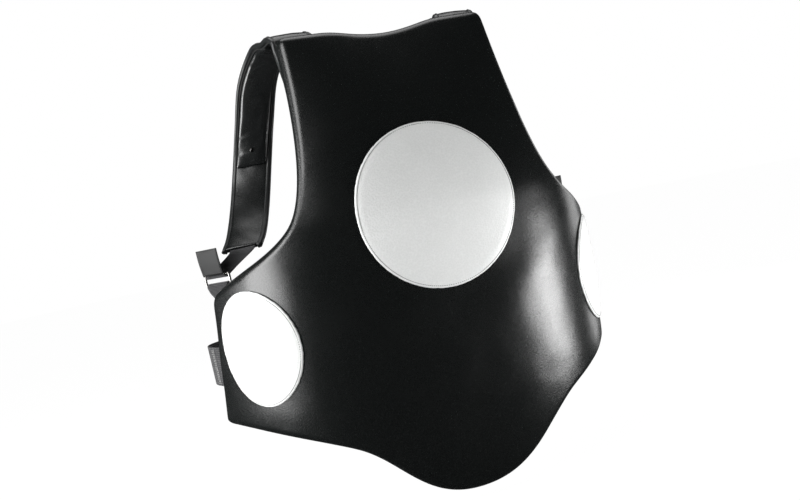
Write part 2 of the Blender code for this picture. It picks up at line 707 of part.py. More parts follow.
def make_belt(finishes):
    """The elastic belt from the right flank round the back to the left flank, and what holds it."""
    half = BELT_WIDTH / 2
    patch_depth = LINING_BACK + GAP
    belt_depth = PAD_BACK + PIPING_CLEARANCE + BELT_THICKNESS / 2
    hinge = on_pad(-BELT_HINGE_S, BELT_Z, belt_depth)
    away = on_pad(-BELT_HINGE_S - 0.01, BELT_Z, belt_depth) - hinge
    away = Vector((away.x, away.y, 0)).normalized()

    front, back_face = belt_depth - BELT_THICKNESS / 2, belt_depth + BELT_THICKNESS / 2
    seam = BELT_HINGE_S - BELT_LEAD
    pad_sheet("belt_anchor", belt_patch(-1, BELT_ANCHOR_S, seam), patch_depth, back_face, finishes["webbing"])
    lead = belt_patch(-1, seam + GAP, BELT_HINGE_S - BELT_CLEARANCE)
    pad_sheet("belt_anchor_end", lead, front, back_face, finishes["webbing"])

    left = on_pad(BELT_HINGE_S, BELT_Z, belt_depth)
    start = np.array((hinge.x, hinge.y)) + np.array((away.x, away.y)) * BELT_CLEARANCE
    pull = start + np.array((-BELT_BULGE, BELT_RUN_OUT))
    back = np.array((0.0, BELT_BACK_Y))
    near = bezier(start, pull, (-BELT_BACK_REACH, BELT_BACK_Y), back, 10)
    finish_at = np.array((left.x, left.y)) + np.array((-away.x, away.y)) * BELT_CLEARANCE
    pull = finish_at + np.array((BELT_BULGE, BELT_RUN_OUT))
    far = bezier(back, (BELT_BACK_REACH, BELT_BACK_Y), pull, finish_at, 10)
    body = swept_box(upright_strip(near + far[1:]), (-half, half), (-BELT_THICKNESS / 2, BELT_THICKNESS / 2))
    place("waist_belt", body, finishes["webbing"], (hinge.x, hinge.y, BELT_Z))

    pivot = (left.x, left.y, BELT_Z)
    loop_patch = belt_patch(1, BELT_TAB_S, seam)
    pad_sheet("belt_loop_patch", loop_patch, patch_depth, front - BELT_PEEL_GAP, finishes["hook"])
    tab = belt_patch(1, BELT_TAB_S, BELT_HINGE_S - BELT_CLEARANCE)
    pad_sheet("belt_hook_tab", tab, front, back_face, finishes["hook"], pivot)
    pull = belt_patch(1, BELT_TAB_S - PULL_TAB_LENGTH, BELT_TAB_S - GAP, BELT_WIDTH / 2 - PULL_TAB_MARGIN)
    pad_sheet("belt_pull_tab", pull, front, back_face, finishes["leather"], pivot)


# ---------------------------------------------------------------- the vest

def clear_scene():
    """Remove every object of the open scene."""
    for obj in list(bpy.data.objects):
        bpy.data.objects.remove(obj)


def main():
    """Build the vest."""
    clear_scene()
    finishes = make_materials()
    make_pad(finishes)
    for word, side in (("left", 1), ("right", -1)):
        make_strap(word, side, finishes)
    make_belt(finishes)


main()
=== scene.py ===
"""The looks of the trainer's padded body vest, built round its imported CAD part.

Metres, +Z up, strike face towards -Y, the wearer's left towards +X. The pad is drawn in its flat
pattern as (s across, depth behind the strike face, z up) and then bent round the wearer."""
import math
import bpy
import bmesh
import numpy as np
from mathutils import Matrix, Vector, noise


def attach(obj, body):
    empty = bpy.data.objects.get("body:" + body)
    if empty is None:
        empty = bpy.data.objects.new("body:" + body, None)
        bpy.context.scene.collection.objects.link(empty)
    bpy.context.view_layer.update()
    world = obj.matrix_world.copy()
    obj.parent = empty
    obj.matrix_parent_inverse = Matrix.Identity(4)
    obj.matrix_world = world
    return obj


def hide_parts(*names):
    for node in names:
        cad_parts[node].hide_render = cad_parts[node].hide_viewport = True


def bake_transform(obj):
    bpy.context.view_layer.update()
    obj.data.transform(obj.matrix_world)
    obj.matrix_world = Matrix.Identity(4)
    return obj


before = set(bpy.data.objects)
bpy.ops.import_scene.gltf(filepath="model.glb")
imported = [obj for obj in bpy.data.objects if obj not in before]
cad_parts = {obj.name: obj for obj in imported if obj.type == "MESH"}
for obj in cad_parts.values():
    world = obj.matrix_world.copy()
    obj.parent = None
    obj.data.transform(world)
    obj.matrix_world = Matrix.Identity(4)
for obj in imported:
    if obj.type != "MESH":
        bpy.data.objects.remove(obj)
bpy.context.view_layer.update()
SCENE = bpy.context.scene

# ---- sizes, as in the CAD part

CHEST_HALF_WIDTH, SHOULDER_Z = 0.147, -0.006
NECK_DIP, NECK_HALF_WIDTH = 0.010, 0.085
ARMHOLE = (0.195, -0.245)
ARMPIT = (0.381, -0.323)
FLANK_FOOT = (0.430, -0.515)
HEM_TURN = (0.165, -0.556)
TONGUE_Z = -0.655
CORNER_RADIUS = 0.016
FRONT_Y = -0.160
BEND_REACH, BEND_DEGREES, BEND_FLATNESS, CHEST_BEND_SHARE = 0.385, 65.5, 0.8, 0.82
DISC_Z = -0.260
CHEST_LEAN, CHEST_LEAN_POWER, TONGUE_LEAN = 0.088, 1.25, 0.040
PAD_DEPTH = 0.0220
LINING_BACK = 0.0237
PIPING_RADIUS, PIPING_DEPTH, PIPING_INSET = 0.0024, 0.0252, 0.0027
PAD_BACK = 0.0276
FRONT_DISC_RADIUS, FLANK_DISC_RADIUS = 0.108, 0.080
FLANK_DISC = (0.290, -0.400)
STRAP_WIDTH, STRAP_HALF, STRAP_SEAT_S, STRAP_SEAT_ROOM = 0.060, 0.0045, 0.116, 0.0026
STRAP_FOOT_TURN = math.radians(20.0)
WEBBING_WIDTH, WEBBING = 0.038, 0.0018
RING_WIRE, RING_SPAN, RING_PLAY = 0.00175, 0.0165, 0.0016
RING_S, RING_Z = 0.410, -0.315
FLAP_LENGTH, FLAP_LEAN = 0.038, math.radians(-5.0)
ANCHOR_S, ANCHOR_DROP = 0.372, 0.042
BELT_WIDTH, BELT_THICKNESS, BELT_Z = 0.060, 0.0020, -0.434
BELT_HINGE_S, BELT_BACK_Y, BELT_TAB_S = 0.424, 0.190, 0.345
BELT_BULGE, BELT_RUN_OUT, BELT_BACK_REACH = 0.090, 0.140, 0.200

# What the leather does over the foam
ROLL_IN, ROLL_DOWN = 0.013, 0.0145
SOFT_EDGE, SOFT_REACH = 0.0022, 0.024
PUFF = 0.0042
STITCH_INSET = 0.0034
COVER_CELL, LINING_CELL, DISC_CELL, PATCH_CELL = 0.0095, 0.012, 0.0085, 0.008
LINING_INSET, LINING_STITCH_INSET = 0.0085, 0.0115
FLANGE_INSET, FLANGE_RADIUS = 0.0062, 0.0011
SLEEVE_HALF, SLEEVE_RISE = 0.0232, 0.0080
STRAP_SKIN_HALF, STRAP_STITCH_AT, STRAP_STITCH_RISE = 0.0275, 0.0248, 0.0041
LOOP_STITCH_HALF, BOX_HALF, SEAT_BOX_HALF = 0.0172, 0.015, 0.019
SHORT_PITCH, SHORT_STITCH = 0.0028, 0.0021
FOLD_RADIUS = RING_WIRE + RING_PLAY + WEBBING / 2
BELT_BLEND = 0.022


# ---- materials

class Value:
    """A shader socket that takes part in sums."""

    def __init__(self, paint, socket):
        self.paint, self.socket = paint, socket

    def math(self, operation, *others):
        return self.paint.node("Math", {"operation": operation}, dict(enumerate((self, *others))))

    def __add__(self, other):
        return self.math("ADD", other)

    def __sub__(self, other):
        return self.math("SUBTRACT", other)

    def __rsub__(self, other):
        return self.paint.node("Math", {"operation": "SUBTRACT"}, {0: other, 1: self})

    def __mul__(self, other):
        return self.math("MULTIPLY", other)

    __radd__, __rmul__ = __add__, __mul__

    def clamp(self):
        return self.paint.node("Clamp", {}, {0: self})

    def wave(self, pitch):
        """A sine of 0 to 1 that repeats at a pitch."""
        return (self * (2 * math.pi / pitch)).math("SINE") * 0.5 + 0.5


class Paint:
    """One material and its nodes."""

    def __init__(self, name, **surface):
        self.material = bpy.data.materials.new(name)
        self.material.use_nodes = True
        self.tree = self.material.node_tree
        self.shader = self.tree.nodes["Principled BSDF"]
        for key, value in surface.items():
            self.shader.inputs[key.replace("_", " ")].default_value = value

    def node(self, kind, settings, sockets, output=0):
        """Adds one node. Settings come first, then its sockets, by name or number."""
        made = self.tree.nodes.new("ShaderNode" + kind)
        for key, value in settings.items():
            if key == "stops":
                for element, (place, colour) in zip(made.color_ramp.elements, value):
                    element.position, element.color = place, colour
            else:
                setattr(made, key, value)
        for key, value in sockets.items():
            if isinstance(value, Value):
                self.tree.links.new(value.socket, made.inputs[key])
            else:
                made.inputs[key].default_value = value
        return Value(self, made.outputs[output])

    def place(self):
        return self.node("TexCoord", {}, {}, "Object")

    def cloth_place(self):
        """Metres across and along a strip."""
        split = self.node("SeparateXYZ", {}, {0: self.node("UVMap", {"uv_map": "cloth"}, {})})
        return split, Value(self, split.socket.node.outputs[1])

    def noise(self, place, scale, detail=3.0, roughness=0.55):
        return self.node("TexNoise", {}, {"Vector": place, "Scale": scale, "Detail": detail,
                                          "Roughness": roughness}, "Fac")

    def cells(self, place, scale):
        return self.node("TexVoronoi", {}, {"Vector": place, "Scale": scale}, "Distance")

    def mix(self, share, first, second):
        """A colour between two colours."""
        made = self.node("Mix", {"data_type": "RGBA"}, {"Factor": share}, 2)
        for colour, end in zip((first, second), made.socket.node.inputs[6:8]):
            if isinstance(colour, Value):
                self.tree.links.new(colour.socket, end)
            else:
                end.default_value = (*colour, 1.0)
        return made

    def bump(self, height, strength, distance, under=None):
        sockets = {"Height": height, "Strength": strength, "Distance": distance}
        if under:
            sockets["Normal"] = under
        return self.node("Bump", {}, sockets)

    def finish(self, tone, rough=None, normal=None):
        if rough:
            rough = rough.clamp()
        for key, value in (("Base Color", tone), ("Roughness", rough), ("Normal", normal)):
            if value:
                self.tree.links.new(value.socket, self.shader.inputs[key])
        return self.material


def leather(name, deep, worn, gloss, grain=760.0, depth=0.00010, coat=0.12, crease=0.3):
    """Coated leather: pebbled grain, soft pulls and creases, a little wear on what stands proud."""
    paint = Paint(name, Coat_Weight=coat, Coat_Roughness=0.22, IOR=1.47)
    place = paint.place()
    warp = paint.node("VectorMath", {"operation": "MULTIPLY_ADD"}, {
        0: paint.node("TexNoise", {}, {"Vector": place, "Scale": 210.0, "Detail": 2.0}, "Color"),
        1: (0.0011, 0.0011, 0.0011), 2: place})
    pebbles = paint.cells(warp, grain)
    fine = paint.cells(warp, grain * 2.3)
    pulls = paint.noise(place, 17.0, 4.0)
    broad = paint.noise(place, 5.5, 2.0)
    worn_edges = ((paint.node("NewGeometry", {}, {}, "Pointiness") - 0.52) * 7.0).clamp()
    scuffs = ((paint.noise(place, 46.0, 6.0, 0.7) - 0.60) * 5.0).clamp()
    tone = paint.mix((broad * 0.75 + pebbles * 0.30).clamp(), deep, worn)
    rubbed = [min(3.2 * c + 0.02, 0.85) for c in worn]
    tone = paint.mix((worn_edges * (0.25 + scuffs * 0.5)).clamp(), tone, rubbed)
    rough = gloss + pulls * 0.10 + pebbles * 0.10 + scuffs * 0.06 - 0.10
    surface = paint.bump(paint.noise(place, 24.0, 2.0), crease, 0.0012)
    surface = paint.bump(1.0 - pebbles, 0.55, depth, surface)
    surface = paint.bump(1.0 - fine, 0.25, depth * 0.6, surface)
    return paint.finish(tone, rough, surface)


def woven(name, light, rib, rib_depth, cross, ribs_run):
    """Narrow fabric: ribs that run along or across it and the fine yarns that cross them."""
    paint = Paint(name, Sheen_Weight=0.25, Sheen_Roughness=0.45, IOR=1.45)
    across, along = paint.cloth_place()
    if ribs_run == "across":
        across, along = along, across
    ribs, yarns = across.wave(rib), along.wave(cross)
    check = ribs * (0.55 + yarns * 0.45)
    fuzz = paint.noise(paint.place(), 900.0)
    tone = paint.mix((check * 0.8 + fuzz * 0.3).clamp(), (0.006, 0.006, 0.007), light)
    surface = paint.bump(check, 0.9, rib_depth)
    surface = paint.bump(fuzz, 0.3, 0.0002, surface)
    rough = 0.86 - check * 0.25 + fuzz * 0.1
    return paint.finish(tone, rough, surface)


def backing_cloth():
    """The lining: a close plain weave with a dull coating."""
    paint = Paint("lining cloth", Sheen_Weight=0.15, Sheen_Roughness=0.5, IOR=1.45)
    place = paint.place()
    split = paint.node("SeparateXYZ", {}, {0: place})
    x, z = split, Value(paint, split.socket.node.outputs[2])
    weave = x.wave(0.0011) * z.wave(0.0011) + (1.0 - x.wave(0.0011)) * (1.0 - z.wave(0.0011))
    cloud = paint.noise(place, 14.0, 4.0)
    tone = paint.mix((weave * 0.45 + cloud * 0.4).clamp(), (0.008, 0.009, 0.010),
                     (0.034, 0.036, 0.038))
    surface = paint.bump(cloud, 0.35, 0.0020)
    surface = paint.bump(weave, 0.5, 0.00022, surface)
    return paint.finish(tone, 0.62 + cloud * 0.2, surface)


def pile(name, scale, distance):
    """Hook or loop tape: a dense fuzz of tiny loops."""
    paint = Paint(name, Sheen_Weight=0.5, Sheen_Roughness=0.6, IOR=1.45)
    place = paint.place()
    tufts = paint.cells(place, scale)
    fuzz = paint.noise(place, scale * 1.6, 5.0, 0.7)
    tone = paint.mix((tufts * 0.6 + fuzz * 0.4).clamp(), (0.004, 0.004, 0.004),
                     (0.045, 0.045, 0.047))
    surface = paint.bump(fuzz, 0.8, distance)
    surface = paint.bump(1.0 - tufts, 0.9, distance, surface)
    return paint.finish(tone, 0.80 + fuzz * 0.2, surface)


def thread(name, deep, light):
    """Twisted sewing thread."""
    paint = Paint(name, Sheen_Weight=0.2, IOR=1.45)
    twist = paint.noise(paint.place(), 1500.0, 2.0)
    return paint.finish(paint.mix(twist, deep, light), 0.45 + twist * 0.25,
                        paint.bump(twist, 0.6, 0.0002))


def plated_steel(name, deep, light):
    """Plated metal with fine rub marks."""
    paint = Paint(name, Metallic=1.0)
    place = paint.place()
    rubs = paint.noise(place, 320.0, 6.0, 0.75)
    tone = paint.mix(paint.noise(place, 60.0), deep, light)
    return paint.finish(tone, 0.12 + rubs * 0.22, paint.bump(rubs, 0.12, 0.0002))


BLACK = leather("black leather", (0.0026, 0.0034, 0.0032), (0.0065, 0.0078, 0.0075), 0.27,
                depth=0.00014)
BLACK_TRIM = leather("black trim leather", (0.006, 0.007, 0.007), (0.020, 0.022, 0.022), 0.33,
                     grain=980.0)
SLEEVE_SKIN = leather("sleeve leather", (0.005, 0.006, 0.006), (0.014, 0.015, 0.015), 0.24,
                      coat=0.5, crease=0.7)
TAB_SKIN = leather("tab leather", (0.002, 0.0023, 0.0023), (0.006, 0.0068, 0.0068), 0.62,
                   grain=980.0, coat=0.0)
SILVER = leather("silver leather", (0.68, 0.69, 0.68), (0.94, 0.95, 0.94), 0.38, grain=430.0,
                 depth=0.00045, coat=0.2, crease=0.35)
LINING = backing_cloth()
WEB = woven("black webbing", (0.050, 0.050, 0.053), 0.0022, 0.0007, 0.0016, "across")
ELASTIC = woven("ribbed elastic", (0.055, 0.055, 0.058), 0.0030, 0.0009, 0.0012, "along")
HOOKS = pile("hook tape", 1500.0, 0.0005)
LOOPS = pile("loop tape", 1100.0, 0.0008)
DARK_THREAD = thread("dark thread", (0.012, 0.012, 0.012), (0.055, 0.055, 0.055))
GREY_THREAD = thread("grey thread", (0.10, 0.10, 0.10), (0.24, 0.24, 0.24))
# The belt's bar-tacks are real stitches. Their near-white colour is a painted glint, not the
# thread's own colour.
PALE_GLINT_THREAD = thread("pale glint thread", (0.45, 0.45, 0.44), (0.72, 0.72, 0.70))
STEEL = plated_steel("nickel steel", (0.42, 0.41, 0.40), (0.62, 0.61, 0.59))
DARK_STEEL = plated_steel("blackened steel", (0.030, 0.030, 0.030), (0.070, 0.068, 0.066))

# The slot of each finish; the others are black leather
SLOTS = {LINING: "lining_cloth", WEB: "black_webbing", ELASTIC: "ribbed_elastic",
         PALE_GLINT_THREAD: "ribbed_elastic", SILVER: "silver_leather", GREY_THREAD: "silver_leather",
         STEEL: "nickel_steel", DARK_STEEL: "nickel_steel", HOOKS: "hook_and_loop",
         LOOPS: "hook_and_loop"}


# ---- objects

def as_mesh(name, made):
    """A finished bmesh as mesh data."""
    skin = bpy.data.meshes.new(name)
    made.to_mesh(skin)
    made.free()
    return skin


def placed(name, data):
    """A new object in the scene."""
    obj = bpy.data.objects.new(name, data)
    SCENE.collection.objects.link(obj)
    return obj



# ---- curves

def unit(vector):
    return vector / np.linalg.norm(vector)


def bezier(start, pull_start, pull_end, end, steps):
    """Points of a cubic Bezier curve, both ends included."""
    t = np.linspace(0.0, 1.0, steps + 1)[:, None]
    a, b, c, d = (np.array(point, float) for point in (start, pull_start, pull_end, end))
    return (1 - t) ** 3 * a + 3 * t * (1 - t) ** 2 * b + 3 * t * t * (1 - t) * c + t ** 3 * d


def smooth_path(points, steps):
    """A Catmull-Rom curve through points."""
    points = [np.array(point, float) for point in points]
    padded = [2 * points[0] - points[1]] + points + [2 * points[-1] - points[-2]]
    path = []
    for a, b, c, d in zip(padded, padded[1:], padded[2:], padded[3:]):
        for t in np.arange(steps) / steps:
            path.append(0.5 * (2 * b + (c - a) * t + (2 * a - 5 * b + 4 * c - d) * t * t
                               + (3 * b - a - 3 * c + d) * t ** 3))
    return np.array(path + [points[-1]])


def reached(points):
    """The distance along a line at each of its points."""
    return np.concatenate(([0.0], np.cumsum(np.linalg.norm(np.diff(points, axis=0), axis=1))))


def spaced(points, pitch, closed=False):
    """The same line with evenly spaced points."""
    points = np.array(points, float)
    if closed:
        points = np.vstack((points, points[:1]))
    reach = reached(points)
    count = max(int(round(reach[-1] / pitch)), 2)
    marks = np.linspace(0.0, reach[-1], count + 1)
    line = np.stack([np.interp(marks, reach, column) for column in points.T], 1)
    return line[:-1] if closed else line


def soft_corner(line, outgoing):
    """Adds an edge to a line with a rounded corner where they meet."""
    corner = line[-1]
    before = [point for point in line if np.linalg.norm(point - corner) > CORNER_RADIUS]
    after = [point for point in outgoing if np.linalg.norm(point - corner) > CORNER_RADIUS]
    start = corner + unit(before[-1] - corner) * CORNER_RADIUS
    end = corner + unit(after[0] - corner) * CORNER_RADIUS
    t = np.linspace(0.0, 1.0, 9)[:, None]
    return before + list((1 - t) ** 2 * start + 2 * t * (1 - t) * corner + t * t * end) + after


def pattern_outline(pitch):
    """The pad's outline in the pattern, from the middle of the neck round by the wearer's left."""
    shoulder = np.array((CHEST_HALF_WIDTH, SHOULDER_Z))
    steep, slope = np.array((0.033, -0.039)), np.array((0.056, 0.026))
    waist, turn = np.array(ARMHOLE), np.array(HEM_TURN)
    neck_end = (NECK_HALF_WIDTH, SHOULDER_Z)
    neck = bezier((0.0, SHOULDER_Z - NECK_DIP), (0.040, SHOULDER_Z - NECK_DIP),
                  (NECK_HALF_WIDTH - 0.030, SHOULDER_Z), neck_end, 12)
    upper = bezier(shoulder, (CHEST_HALF_WIDTH + 0.004, -0.100), waist - steep, waist, 40)
    lower = bezier(waist, waist + steep, (ARMPIT[0] - 0.081, ARMPIT[1] + 0.030), ARMPIT, 40)
    rear = np.linspace(ARMPIT, FLANK_FOOT, 12)
    hem = bezier(FLANK_FOOT, (FLANK_FOOT[0] - 0.100, FLANK_FOOT[1] - 0.002),
                 (turn[0] + 0.065, turn[1] + 0.030), turn, 40)
    tongue = bezier(turn, turn - slope, (0.084, TONGUE_Z), (0.0, TONGUE_Z), 40)
    line = list(neck) + list(np.linspace(neck_end, shoulder, 10)[1:])
    line = soft_corner(line, list(upper[1:]) + list(lower[1:]))
    line = soft_corner(line, rear[1:])
    line = soft_corner(line, list(hem[1:]) + list(tongue[1:]))
    half = spaced(line, pitch)
    return np.vstack((half, half[-2:0:-1] * (-1, 1)))


def inward(outline):
    """The inward direction at each point of a closed outline that runs clockwise."""
    run = np.roll(outline, -1, axis=0) - np.roll(outline, 1, axis=0)
    run /= np.linalg.norm(run, axis=1)[:, None]
    return np.stack((run[:, 1], -run[:, 0]), 1)


OUTLINE = pattern_outline(0.0045)
INWARD = inward(OUTLINE)


def edge_distance(places):
    """How far pattern places lie from the outline."""
    places = np.asarray(places, float)
    nearest = np.full(len(places), 9.0)
    for start, run in zip(OUTLINE, np.roll(OUTLINE, -1, axis=0) - OUTLINE):
        away = places - start
        t = np.clip(away @ run / (run @ run), 0.0, 1.0)
        nearest = np.minimum(nearest, np.linalg.norm(away - t[:, None] * run, axis=1))
    return nearest


# ---- the bend of the pad

STEP_S, STEP_Z = 0.002, 0.008
SURFACE_TOP, SURFACE_LOW, SURFACE_REACH = 0.064, -0.704, 0.480


def bent_surface():
    """Points and outward normals of the strike face over the half pattern."""
    s = np.arange(0.0, SURFACE_REACH, STEP_S)[:, None]
    z = np.arange(SURFACE_LOW, SURFACE_TOP, STEP_Z)[None, :]
    t = (s + STEP_S / 2) / BEND_REACH
    turned = (1 - BEND_FLATNESS) * t + BEND_FLATNESS * (t - np.sin(2 * np.pi * t) / (2 * np.pi))
    rise = np.clip((z - FLANK_DISC[1]) / (SHOULDER_Z - FLANK_DISC[1]), 0, 1)
    angle = math.radians(BEND_DEGREES) * turned * (1 - (1 - CHEST_BEND_SHARE) * rise ** 2)
    x = np.cumsum(np.cos(angle) * STEP_S, axis=0) - np.cos(angle) * STEP_S
    y = np.cumsum(np.sin(angle) * STEP_S, axis=0) - np.sin(angle) * STEP_S
    above = np.maximum(z - DISC_Z, 0.0) / (SHOULDER_Z - DISC_Z)
    below = np.maximum(DISC_Z - z, 0.0) / (DISC_Z - TONGUE_Z)
    lean = CHEST_LEAN * above ** CHEST_LEAN_POWER + TONGUE_LEAN * below ** 2
    fade = 1 - np.minimum(s / BEND_REACH, 1.0) ** 1.5
    points = np.stack((x, FRONT_Y + y + lean * fade, np.broadcast_to(z, x.shape)), 2)
    across, up = np.gradient(points, axis=0), np.gradient(points, axis=1)
    across[0, :, 1:] = 0.0
    normals = np.cross(across, up)
    normals /= np.linalg.norm(normals, axis=2)[:, :, None]
    return points, normals


SURFACE, NORMALS = bent_surface()


def read_between(table, i, j, ease=False):
    """A table read between its points."""
    i = np.clip(i, 0, table.shape[0] - 1.001)
    j = np.clip(j, 0, table.shape[1] - 1.001)
    a, b = i.astype(int), j.astype(int)
    u, v = i - a, j - b
    if ease:
        u, v = u * u * (3 - 2 * u), v * v * (3 - 2 * v)
    if table.ndim > 2:
        u, v = u[:, None], v[:, None]
    return ((table[a, b] * (1 - u) + table[a + 1, b] * u) * (1 - v)
            + (table[a, b + 1] * (1 - u) + table[a + 1, b + 1] * u) * v)


def looked_up(table, s, z):
    """A table of vectors over the half pattern, turned over for the other half."""
    vectors = read_between(table, np.abs(s) / STEP_S, (z - SURFACE_LOW) / STEP_Z)
    vectors[:, 0] *= np.where(s < 0, -1.0, 1.0)
    return vectors


def on_pad(s, z, depth):
    """World points at pattern places, a depth below the strike face."""
    s, z, depth = np.broadcast_arrays(*(np.atleast_1d(np.asarray(value, float))
                                        for value in (s, z, depth)))
    return looked_up(SURFACE, s, z) - looked_up(NORMALS, s, z) * depth[:, None]


def at_pad(s, z, depth):
    """One point of the pad."""
    return Vector(on_pad(s, z, depth)[0])


def along_pad(line, depth):
    """World points and the strike face's outward directions along a line of the pattern."""
    s, z = line.T
    return on_pad(s, z, depth), looked_up(NORMALS, s, z)


# ---- how far the leather stands off

PUFF_STEP = 0.0105
PUFF_COLUMNS, PUFF_ROWS = 86, 66
PUFF_ORIGIN = np.array((-PUFF_COLUMNS * PUFF_STEP / 2, -0.672))
DISC_CENTRES = ((0.0, DISC_Z, FRONT_DISC_RADIUS), (*FLANK_DISC, FLANK_DISC_RADIUS),
                (-FLANK_DISC[0], FLANK_DISC[1], FLANK_DISC_RADIUS))
SEWN_EDGE = 0.011
BLOW_STEPS = 20
CLOTH = {"quality": 5, "mass": 0.3, "tension_stiffness": 12.0, "compression_stiffness": 12.0,
         "bending_stiffness": 0.8, "use_pressure": True, "uniform_pressure_force": 4.0,
         "vertex_group_mass": "sewn", "shrink_min": -0.012}


def inside(places):
    """Which pattern places lie inside the outline."""
    places = np.asarray(places, float)
    crossings = np.zeros(len(places), int)
    for (s0, z0), (s1, z1) in zip(OUTLINE, np.roll(OUTLINE, -1, axis=0)):
        spans = (z0 > places[:, 1]) != (z1 > places[:, 1])
        if spans.any():
            at = s0 + (places[:, 1] - z0) * (s1 - s0) / ((z1 - z0) or 1e-12)
            crossings += spans & (places[:, 0] < at)
    return crossings % 2 == 1


def blow(places, edge, held):
    """Blows cloth that is held along its seams, and reads how far it rises: the numbers of its
    places, and their rise."""
    blown = bmesh.new()
    order = blown.verts.layers.int.new("order")
    bmesh.ops.create_grid(blown, x_segments=PUFF_COLUMNS, y_segments=PUFF_ROWS, size=1.0)
    blown.verts.ensure_lookup_table()
    rest, out = along_pad(places, 0.0)
    for number, vertex in enumerate(blown.verts):
        column, row = number % (PUFF_COLUMNS + 1), number // (PUFF_COLUMNS + 1)
        vertex[order] = column * (PUFF_ROWS + 1) + row
        vertex.co = rest[vertex[order]]
    outer = [vertex for vertex in blown.verts if edge[vertex[order]] <= 0.0]
    bmesh.ops.delete(blown, geom=outer, context="VERTS")
    numbers = [vertex[order] for vertex in blown.verts]
    cover = placed("blown_leather", as_mesh("blown leather", blown))
    seam = cover.vertex_groups.new(name="sewn")
    seam.add([k for k, number in enumerate(numbers) if held[number]], 1.0, "REPLACE")
    settings = cover.modifiers.new("blow", "CLOTH").settings
    for key, value in CLOTH.items():
        setattr(settings, key, value)
    settings.effector_weights.gravity = 0.0
    for step in range(BLOW_STEPS):
        SCENE.frame_set(step + 1)
    shape = cover.evaluated_get(bpy.context.evaluated_depsgraph_get()).data
    moved = np.array([vertex.co for vertex in shape.vertices])
    rise = np.einsum("ij,ij->i", moved - rest[numbers], out[numbers])
    SCENE.frame_set(1)
    bpy.data.objects.remove(cover)
    return numbers, rise * (np.sign(np.median(rise)) or 1.0)


def blown_cover():
    """How far the sewn leather rises off the foam, over a grid of the pattern."""
    grid = (PUFF_COLUMNS + 1, PUFF_ROWS + 1)
    places = PUFF_ORIGIN + np.stack([axis.ravel() for axis in np.indices(grid)], 1) * PUFF_STEP
    edge = np.where(inside(places), edge_distance(places), 0.0)
    held = edge < SEWN_EDGE
    for s, z, radius in DISC_CENTRES:
        away = np.abs(np.linalg.norm(places - (s, z), axis=1) - radius + STITCH_INSET)
        held |= away < PUFF_STEP * 0.55
    table = np.zeros(len(places))
    numbers, rise = blow(places, edge, held)
    table[numbers] = np.clip(rise / max(np.percentile(rise, 96), 1e-6), 0.0, 1.25)
    table = table.reshape(grid)
    for _ in range(5):
        padded = np.pad(table, 1, mode="edge")
        table = (padded[1:-1, 1:-1] * 4 + padded[:-2, 1:-1] + padded[2:, 1:-1]
                 + padded[1:-1, :-2] + padded[1:-1, 2:]) / 8
    return table * PUFF


RISE = blown_cover()


def rise_at(s, z):
    """How far the leather stands proud at pattern places."""
    return read_between(RISE, (s - PUFF_ORIGIN[0]) / PUFF_STEP, (z - PUFF_ORIGIN[1]) / PUFF_STEP,
                        ease=True)


def pulls_at(s, z):
    """Slow waves of hand-stretched leather, to a part of a millimetre."""
    return np.array([0.0009 * noise.noise(Vector((a * 11.0, b * 8.0, 3.1)))
                     + 0.0004 * noise.noise(Vector((a * 34.0, b * 22.0, 7.7)))
                     for a, b in zip(s, z)])


def front_depth(s, z):
    """Depth of the cover's outer face, before its edge rolls over."""
    edge = edge_distance(np.stack((s, z), 1))
    return SOFT_EDGE * np.exp(-edge / SOFT_REACH) - rise_at(s, z) - pulls_at(s, z)


# ---- mesh tools

# Each side: how its pieces' names start, and -1 where a shape drawn on the left is turned over
WHOLE, LEFT, RIGHT, TURNED = ("", 1), ("left_", 1), ("right_", -1), ("", -1)


def piece(name, made, finish, body="vest", replaces=(), slot=None, subdivide=0, side=WHOLE,
          ride=True):
    """A finished mesh becomes a named piece that rides on a CAD body."""
    prefix, sign = side
    name, replaces = prefix + name, [prefix + node for node in replaces]
    slot = slot or SLOTS.get(finish, "black_leather")
    if sign < 0:
        for vertex in made.verts:
            vertex.co.x *= -1
    bmesh.ops.recalc_face_normals(made, faces=made.faces[:])
    skin = as_mesh(name, made)
    skin.materials.append(finish)
    skin.polygons.foreach_set("use_smooth", [True] * len(skin.polygons))
    obj = placed(name, skin)
    if subdivide:
        finer = obj.modifiers.new("finer", "SUBSURF")
        finer.levels = finer.render_levels = subdivide
    if ride:
        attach(obj, body)
    if replaces:
        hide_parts(*replaces)
    return obj


SAME_POINT = 1e-6


def join_near(made, distance=SAME_POINT):
    bmesh.ops.remove_doubles(made, verts=made.verts[:], dist=distance)


def fill_holes(made):
    open_edges = [edge for edge in made.edges if edge.is_boundary]
    return bmesh.ops.holes_fill(made, edges=open_edges, sides=0)["faces"]


def wrapped(rows, cap=True):
    """A surface over rows of points; each row closes on itself, and the ends are capped."""
    rows = np.asarray(rows, float)
    count, width = rows.shape[:2]
    around = width + 1
    made = bmesh.new()
    cloth = made.loops.layers.uv.new("cloth")
    bmesh.ops.create_grid(made, x_segments=around - 1, y_segments=count - 1, size=1.0)
    made.verts.ensure_lookup_table()
    for number, vertex in enumerate(made.verts):
        vertex.co = rows[number // around, (number % around) % width]
    steps = np.linalg.norm(np.diff(np.hstack((rows, rows[:, :1])), axis=1), axis=2).mean(axis=0)
    across = np.concatenate(([0.0], np.cumsum(steps)))
    along = reached(rows.mean(axis=1))
    for face in made.faces:
        for loop in face.loops:
            number = loop.vert.index
            loop[cloth].uv = (across[number % around], along[number // around])
    join_near(made)
    if cap:
        fill_holes(made)
    return made


